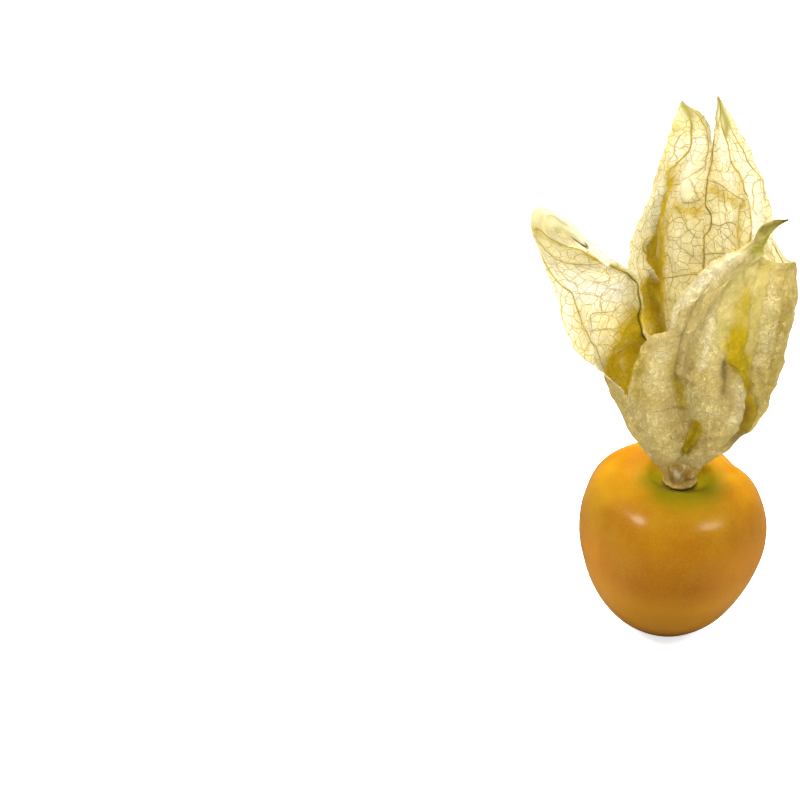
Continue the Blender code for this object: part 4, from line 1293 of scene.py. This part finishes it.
def crumple(sheet):
    """How far the dry membrane is pushed out, in mm."""
    shape = SEPALS[sheet.name]
    wide = 0.16 * noise_field(sheet.points, 6.0, 1.0)
    folds = shape.get("folds", USUAL_FOLDS) * noise_field(sheet.points, 2.6, 2.0, "folded")
    fine = 0.05 * noise_field(sheet.points, 1.1, 3.0, "folded")
    steady = smoothstep(0.0, 0.12, sheet.v) * (1 - 0.5 * smoothstep(0.85, 1.0, sheet.v))
    designed = sheet.strokes(shape["relief"], np.add)
    for side in (0, 1):
        inside = smoothstep(0.0, 1.6, sheet.from_edge(side))
        designed = designed * np.maximum(inside, sheet.free_edge(side))
    return (wide + folds + fine) * steady + designed


def bare_mask(sheet):
    """Where the matte outer skin has worn off and the smooth yellow layer shows, with a ragged edge."""
    lines = SEPALS[sheet.name].get("bare")
    if not lines:
        return np.zeros(sheet.u.shape)
    worn = sheet.strokes(lines)
    worn = worn + 0.12 * noise_field(sheet.points, 1.2, 21.0) + 0.08 * noise_field(sheet.points, 0.5, 22.0)
    return smoothstep(0.25, 0.8, worn)


def outer_skin(sheet, bare):
    """How far the matte skin stands out over the smooth layer, in mm. It fades at the foot and the tip."""
    return SKIN * (1 - bare) * smoothstep(0.0, 0.08, sheet.v) * (1 - smoothstep(0.78, 0.88, sheet.v))


def ragged_margins(sheet):
    """Pulls the free margins in and out a little, and curls them."""
    move = np.zeros(sheet.u.shape)
    curl = np.zeros(sheet.u.shape)
    for side, sign in ((0, 1), (1, -1)):
        free = sheet.free_edge(side)
        edge = sheet.points[0 if side == 0 else -1]
        teeth = 0.22 * noise_field(edge, 1.6, 5 + side) + 0.12 * noise_field(edge, 0.6, 7 + side)
        gap = sheet.from_edge(side)
        move += sign * np.exp(-gap / 0.9) * teeth * free
        curl += np.exp(-gap / 1.1) * free * 0.5 * noise_field(edge, 5.0, 9 + side)
    across = unit(np.gradient(sheet.points, axis=0))
    return across * move[..., None] + sheet.normals * curl[..., None]


def colour_masks(sheet):
    """The masks that colour a sheet: amber and brown paint shade and pale paints light; amber is mottled,
    and brown also rims the foot.
    """
    shape = SEPALS[sheet.name]
    amber = sheet.strokes(shape["amber"])
    amber = np.clip(amber * (1 + 0.5 * noise_field(sheet.points, 1.6, 11.0)), 0, 1)
    foot = (1 - smoothstep(0.0, 0.02, sheet.v)) * 0.5
    masks = {"amber": amber, "brown": np.maximum(foot, sheet.strokes(shape.get("brown", [])))}
    for key in ("pale", "green", "plain"):
        masks[key] = np.clip(sheet.strokes(shape.get(key, [])), 0, 1)
    return masks


def build_sheet_mesh(sheet):
    """The sheet as a grid with its UV map, and the column and row of each vertex."""
    columns, rows = sheet.u.shape[0] - 1, sheet.u.shape[1] - 1
    bm = bmesh.new()
    bmesh.ops.create_grid(bm, x_segments=columns, y_segments=rows, size=0.5)
    layer = bm.loops.layers.uv.new("sheet")
    column = np.array([round((v.co.x + 0.5) * columns) for v in bm.verts])
    row = np.array([round((v.co.y + 0.5) * rows) for v in bm.verts])
    move_verts(bm, sheet.points[column, row])
    side = sheet.side[column, row] * UV_PER_MM + 0.5
    run = sheet.run[column, row] * UV_PER_MM
    for face in bm.faces:
        for loop in face.loops:
            loop[layer].uv = (side[loop.vert.index], run[loop.vert.index])
    return bm, column, row


def build_sepal(name, materials, vein_finish):
    """One sheet, given its thickness by a modifier, and the raised veins on its inner face."""
    husk = settings().husk
    sheet = Sheet(name, husk.columns, husk.rows)
    veins = vein_mask(sheet)
    bare = bare_mask(sheet)
    push = crumple(sheet) - VEIN_GROOVE * veins + outer_skin(sheet, bare)
    sheet.points = sheet.points + sheet.normals * push[..., None] + ragged_margins(sheet)
    sheet.update_normals()
    masks = {"vein": veins, "bare": bare, **colour_masks(sheet)}
    bm, column, row = build_sheet_mesh(sheet)
    obj = finish_piece(name + "_sheet", bm, [name], materials)
    for key, values in masks.items():
        add_attribute(obj.data, key, values[column, row])
    solid = obj.modifiers.new("sheet", "SOLIDIFY")
    solid.thickness = husk.sheet
    solid.offset = 0.0
    solid.material_offset = 1
    solid.material_offset_rim = 1
    finish_piece(name + "_veins", build_vein_mesh(sheet), [], [vein_finish])


# ---------------------------------------------------------------------------------- neck and stalk


def build_neck_mesh():
    """The gathered foot of the husk: a pleated funnel around the stalk."""
    rings = np.array(NECK_PROFILE) + (0.0, DIP_Z)
    bm = spin_outline(spline(rings, np.linspace(0, 1, NECK_RINGS + 1)), NECK_SIDES)
    place = vert_places(bm)
    x, y, z = place.T
    azimuth = np.arctan2(y, x)
    radius = np.hypot(x, y)
    rise = smoothstep(NECK_FOOT_Z, NECK_RIM_Z, z)
    pleat = 0.09 * np.cos(7 * azimuth + 1.2 * np.sin(azimuth * 2)) + 0.06 * np.cos(13 * azimuth + 1.0)
    pleat += 0.03 * np.cos(29 * azimuth + 2.0)
    rough = 0.07 * noise_field(place, 0.7, 4.0, "folded")
    outside = smoothstep(1.3, 1.8, radius)
    grow = 1 + (pleat * (0.2 + 0.8 * rise) + rough) * outside / np.maximum(radius, 0.5)
    move_verts(bm, np.column_stack([x * grow + NECK_X, y * grow + NECK_Y, z]))
    return bm


def neck_material():
    """Brown pleats that turn grey and fibrous higher up, with a painted highlight low on the lip and painted
    shadow where the neck sits in the dip.
    """
    made, n, shader, _ = new_material("husk neck")
    mm = n.object_mm()
    height = n.add("ShaderNodeSeparateXYZ", {0: mm}).outputs["Z"]
    pleat = n.noise(n.stretch(mm, (1.0, 1.0, 0.4)), 1.2, 4.0, 0.6)
    brown = n.mix(n.ramp(pleat, 0.36, 0.66), rgba(NECK_BROWN), rgba(NECK_TAN))
    grey = n.mix(n.ramp(pleat, 0.40, 0.60), rgba(NECK_DULL), rgba(NECK_GREY))
    rise = n.ramp(height, DIP_Z + 0.9, DIP_Z + 2.2)
    patch = n.ramp(n.noise(mm, 0.6, 4.0, 0.65), 0.46, 0.66)
    colour = n.mix(n.math("MULTIPLY", rise, patch), brown, grey)
    # Painted highlight along the low lip.
    colour = n.mix(n.ramp(height, DIP_Z + 0.9, DIP_Z + 1.4, 0.4, 0.0), colour, rgba(NECK_PAINTED_HIGHLIGHT))
    # Painted shadow at the foot, where the neck sits in the dip.
    colour = n.mix(n.ramp(height, DIP_Z + 0.2, DIP_Z + 0.5), rgba(NECK_PAINTED_SHADOW), colour)
    n.feed(colour, shader.inputs["Base Color"])
    set_inputs(shader, {"Roughness": 0.8})
    n.feed(n.relief(n.noise(mm, 3.0, 4.0, 0.7), 0.5, 0.0001), shader.inputs["Normal"])
    return made


def build_stalk_mesh():
    """A short dry stalk that leans a little, with shallow flutes and a ragged cut end."""
    low, high = STALK_BOX[0] / MM, STALK_BOX[1] / MM
    path = np.array([
        (NECK_X, NECK_Y, low.z),
        (NECK_X, NECK_Y, 22.0),
        (NECK_X + 0.3, NECK_Y + 0.3, 26.0),
        (NECK_X + 1.0, NECK_Y + 0.5, high.z),
    ])
    centre = spline(path, np.linspace(0, 1, STALK_STEPS + 1))
    bm = bmesh.new()
    ring = bmesh.ops.create_circle(bm, cap_ends=True, segments=STALK_SIDES, radius=STALK_RADIUS)["verts"]
    bmesh.ops.translate(bm, vec=centre[0], verts=ring)
    face = list(bm.faces)[0]
    for start, end in zip(centre, centre[1:]):
        face = bmesh.ops.extrude_discrete_faces(bm, faces=[face])["faces"][0]
        bmesh.ops.translate(bm, vec=end - start, verts=face.verts)
    bmesh.ops.recalc_face_normals(bm, faces=bm.faces)
    place = vert_places(bm)
    axis = np.column_stack([np.interp(place[:, 2], centre[:, 2], centre[:, k]) for k in (0, 1)])
    off = place[:, :2] - axis
    azimuth = np.arctan2(off[:, 1], off[:, 0])
    flute = 1 + 0.07 * np.cos(8 * azimuth + place[:, 2] * 0.2) + 0.12 * noise_field(place, 1.5, 6.0)
    place[:, :2] = axis + off * flute[:, None]
    top = smoothstep(high.z - 0.5, high.z, place[:, 2])
    place[:, 2] += top * 0.25 * noise_field(place, 0.5, 8.0)
    move_verts(bm, place)
    return bm


def stalk_material():
    """Woody fibres that run up the stalk."""
    made, n, shader, _ = new_material("dry stalk")
    fibre = n.noise(n.stretch(n.object_mm(), (3.0, 3.0, 0.35)), 1.6, 4.0, 0.65)
    colour = n.mix(n.ramp(fibre, 0.35, 0.68), rgba(STALK_DARK), rgba(STALK_LIGHT))
    n.feed(colour, shader.inputs["Base Color"])
    set_inputs(shader, {"Roughness": 0.8})
    n.feed(n.relief(fibre, 0.6, 0.0001), shader.inputs["Normal"])
    return made


# ---------------------------------------------------------------------------------- stage


def build_floor():
    """A pale floor that glows a little for the camera, and is dull to the light it throws back."""
    bm = bmesh.new()
    bmesh.ops.create_grid(bm, x_segments=1, y_segments=1, size=3.0)
    mesh = bpy.data.meshes.new("floor")
    bm.to_mesh(mesh)
    bm.free()
    floor = bpy.data.objects.new("floor", mesh)
    bpy.context.scene.collection.objects.link(floor)
    made, n, shader, out = new_material("pale floor")
    set_inputs(shader, {
        "Base Color": (0.9, 0.9, 0.9, 1.0),
        "Roughness": 0.9,
        "Specular IOR Level": 0.1,
        "Emission Color": (1.0, 1.0, 1.0, 1.0),
        "Emission Strength": 0.6,
    })
    dull = n.add("ShaderNodeBsdfDiffuse", {"Color": (0.55, 0.55, 0.55, 1.0)}).outputs[0]
    dark = n.add("ShaderNodeBsdfDiffuse", {"Color": (0.06, 0.06, 0.06, 1.0)}).outputs[0]
    path = n.add("ShaderNodeLightPath")
    away = n.mix_shaders(path.outputs["Is Glossy Ray"], dull, dark)
    both = n.mix_shaders(path.outputs["Is Camera Ray"], away, shader.outputs[0])
    n.feed(both, out.inputs["Surface"])
    mesh.materials.append(made)


def add_light(name, place, size, power):
    data = bpy.data.lights.new(name, "AREA")
    data.shape = "DISK"
    data.size = size
    data.energy = power
    light = bpy.data.objects.new(name, data)
    bpy.context.scene.collection.objects.link(light)
    light.location = place
    light.rotation_euler = (LIT_POINT - Vector(place)).to_track_quat("-Z", "Y").to_euler()
    return light


def build_lights():
    """A white room, two soft lights at the front, and one behind that shines through the husk."""
    world = bpy.data.worlds.new("soft room")
    world.use_nodes = True
    set_inputs(world.node_tree.nodes["Background"], {"Color": (1.0, 1.0, 1.0, 1.0), "Strength": 1.0})
    bpy.context.scene.world = world
    world.cycles_visibility.glossy = False
    add_light("key", (-0.35, -0.18, 0.46), 0.20, 2.6)
    add_light("fill", (0.38, -0.18, 0.44), 0.20, 1.7)
    back = add_light("back", (0.02, 0.45, 0.40), 0.35, 12.5)
    back.visible_glossy = False
    bpy.context.scene.view_settings.view_transform = "Standard"


def build_camera():
    """A long lens that looks down on the crown, aimed beside it so that the berry stands to the right."""
    stage = settings().stage
    data = bpy.data.cameras.new("camera")
    data.lens = stage.lens
    data.sensor_width = 36.0
    data.clip_start = 0.01
    camera = bpy.data.objects.new("camera", data)
    bpy.context.scene.collection.objects.link(camera)
    back = Vector((0.0, -math.cos(stage.elevation), math.sin(stage.elevation)))
    camera.location = Vector((0.0, 0.0, AIM_POINT.z)) + back * stage.distance
    camera.rotation_euler = (AIM_POINT - camera.location).to_track_quat("-Z", "Y").to_euler()
    bpy.context.scene.camera = camera


# ---------------------------------------------------------------------------------- operators


class PHYSALIS_OT_berry(bpy.types.Operator):
    """Makes the ripe fruit"""

    bl_idname = "physalis.berry"
    bl_label = "Berry"

    def execute(self, context):
        finish_piece("berry_fruit", build_berry_mesh(), ["berry"], [berry_material()])
        return {"FINISHED"}


class PHYSALIS_OT_stalk(bpy.types.Operator):
    """Makes the dry stalk in the middle of the crown"""

    bl_idname = "physalis.stalk"
    bl_label = "Stalk"

    def execute(self, context):
        finish_piece("stalk_stub", build_stalk_mesh(), ["stalk"], [stalk_material()])
        return {"FINISHED"}


class PHYSALIS_OT_neck(bpy.types.Operator):
    """Makes the gathered neck of the husk"""

    bl_idname = "physalis.neck"
    bl_label = "Husk neck"

    def execute(self, context):
        finish_piece("neck_pleats", build_neck_mesh(), ["husk_neck"], [neck_material()])
        return {"FINISHED"}


class PHYSALIS_OT_sepals(bpy.types.Operator):
    """Makes the five dry sepals"""

    bl_idname = "physalis.sepals"
    bl_label = "Sepals"

    def execute(self, context):
        materials = [husk_material("husk outer face", False), husk_material("husk inner face", True)]
        vein_finish = vein_material()
        for name in SEPALS:
            build_sepal(name, materials, vein_finish)
        return {"FINISHED"}


class PHYSALIS_OT_stage(bpy.types.Operator):
    """Makes the pale floor, the soft lights and the camera"""

    bl_idname = "physalis.stage"
    bl_label = "Stage"

    def execute(self, context):
        build_floor()
        build_lights()
        build_camera()
        return {"FINISHED"}


class PHYSALIS_PT_panel(bpy.types.Panel):
    """Lists the berry's pieces and their sizes"""

    bl_label = "Physalis berry"
    bl_idname = "PHYSALIS_PT_panel"
    bl_space_type = "VIEW_3D"
    bl_region_type = "UI"
    bl_category = "Physalis"

    def draw(self, context):
        values = settings()
        for group in (values.berry, values.husk, values.stage):
            box = self.layout.box()
            for key in group.bl_rna.properties.keys():
                if key not in ("rna_type", "name"):
                    box.prop(group, key)
        for piece in PIECES:
            self.layout.operator(piece.bl_idname)


PIECES = (PHYSALIS_OT_berry, PHYSALIS_OT_stalk, PHYSALIS_OT_neck, PHYSALIS_OT_sepals, PHYSALIS_OT_stage)
CLASSES = (BerrySettings, HuskSettings, StageSettings, PhysalisSettings, *PIECES, PHYSALIS_PT_panel)


def register():
    for each in CLASSES:
        bpy.utils.register_class(each)
    setattr(bpy.types.Scene, SETTINGS, PointerProperty(type=PhysalisSettings))


def unregister():
    delattr(bpy.types.Scene, SETTINGS)
    for each in reversed(CLASSES):
        bpy.utils.unregister_class(each)


def main():
    register()
    bpy.ops.physalis.berry()
    bpy.ops.physalis.stalk()
    bpy.ops.physalis.neck()
    bpy.ops.physalis.sepals()
    bpy.ops.physalis.stage()


if __name__ == "__main__":
    main()
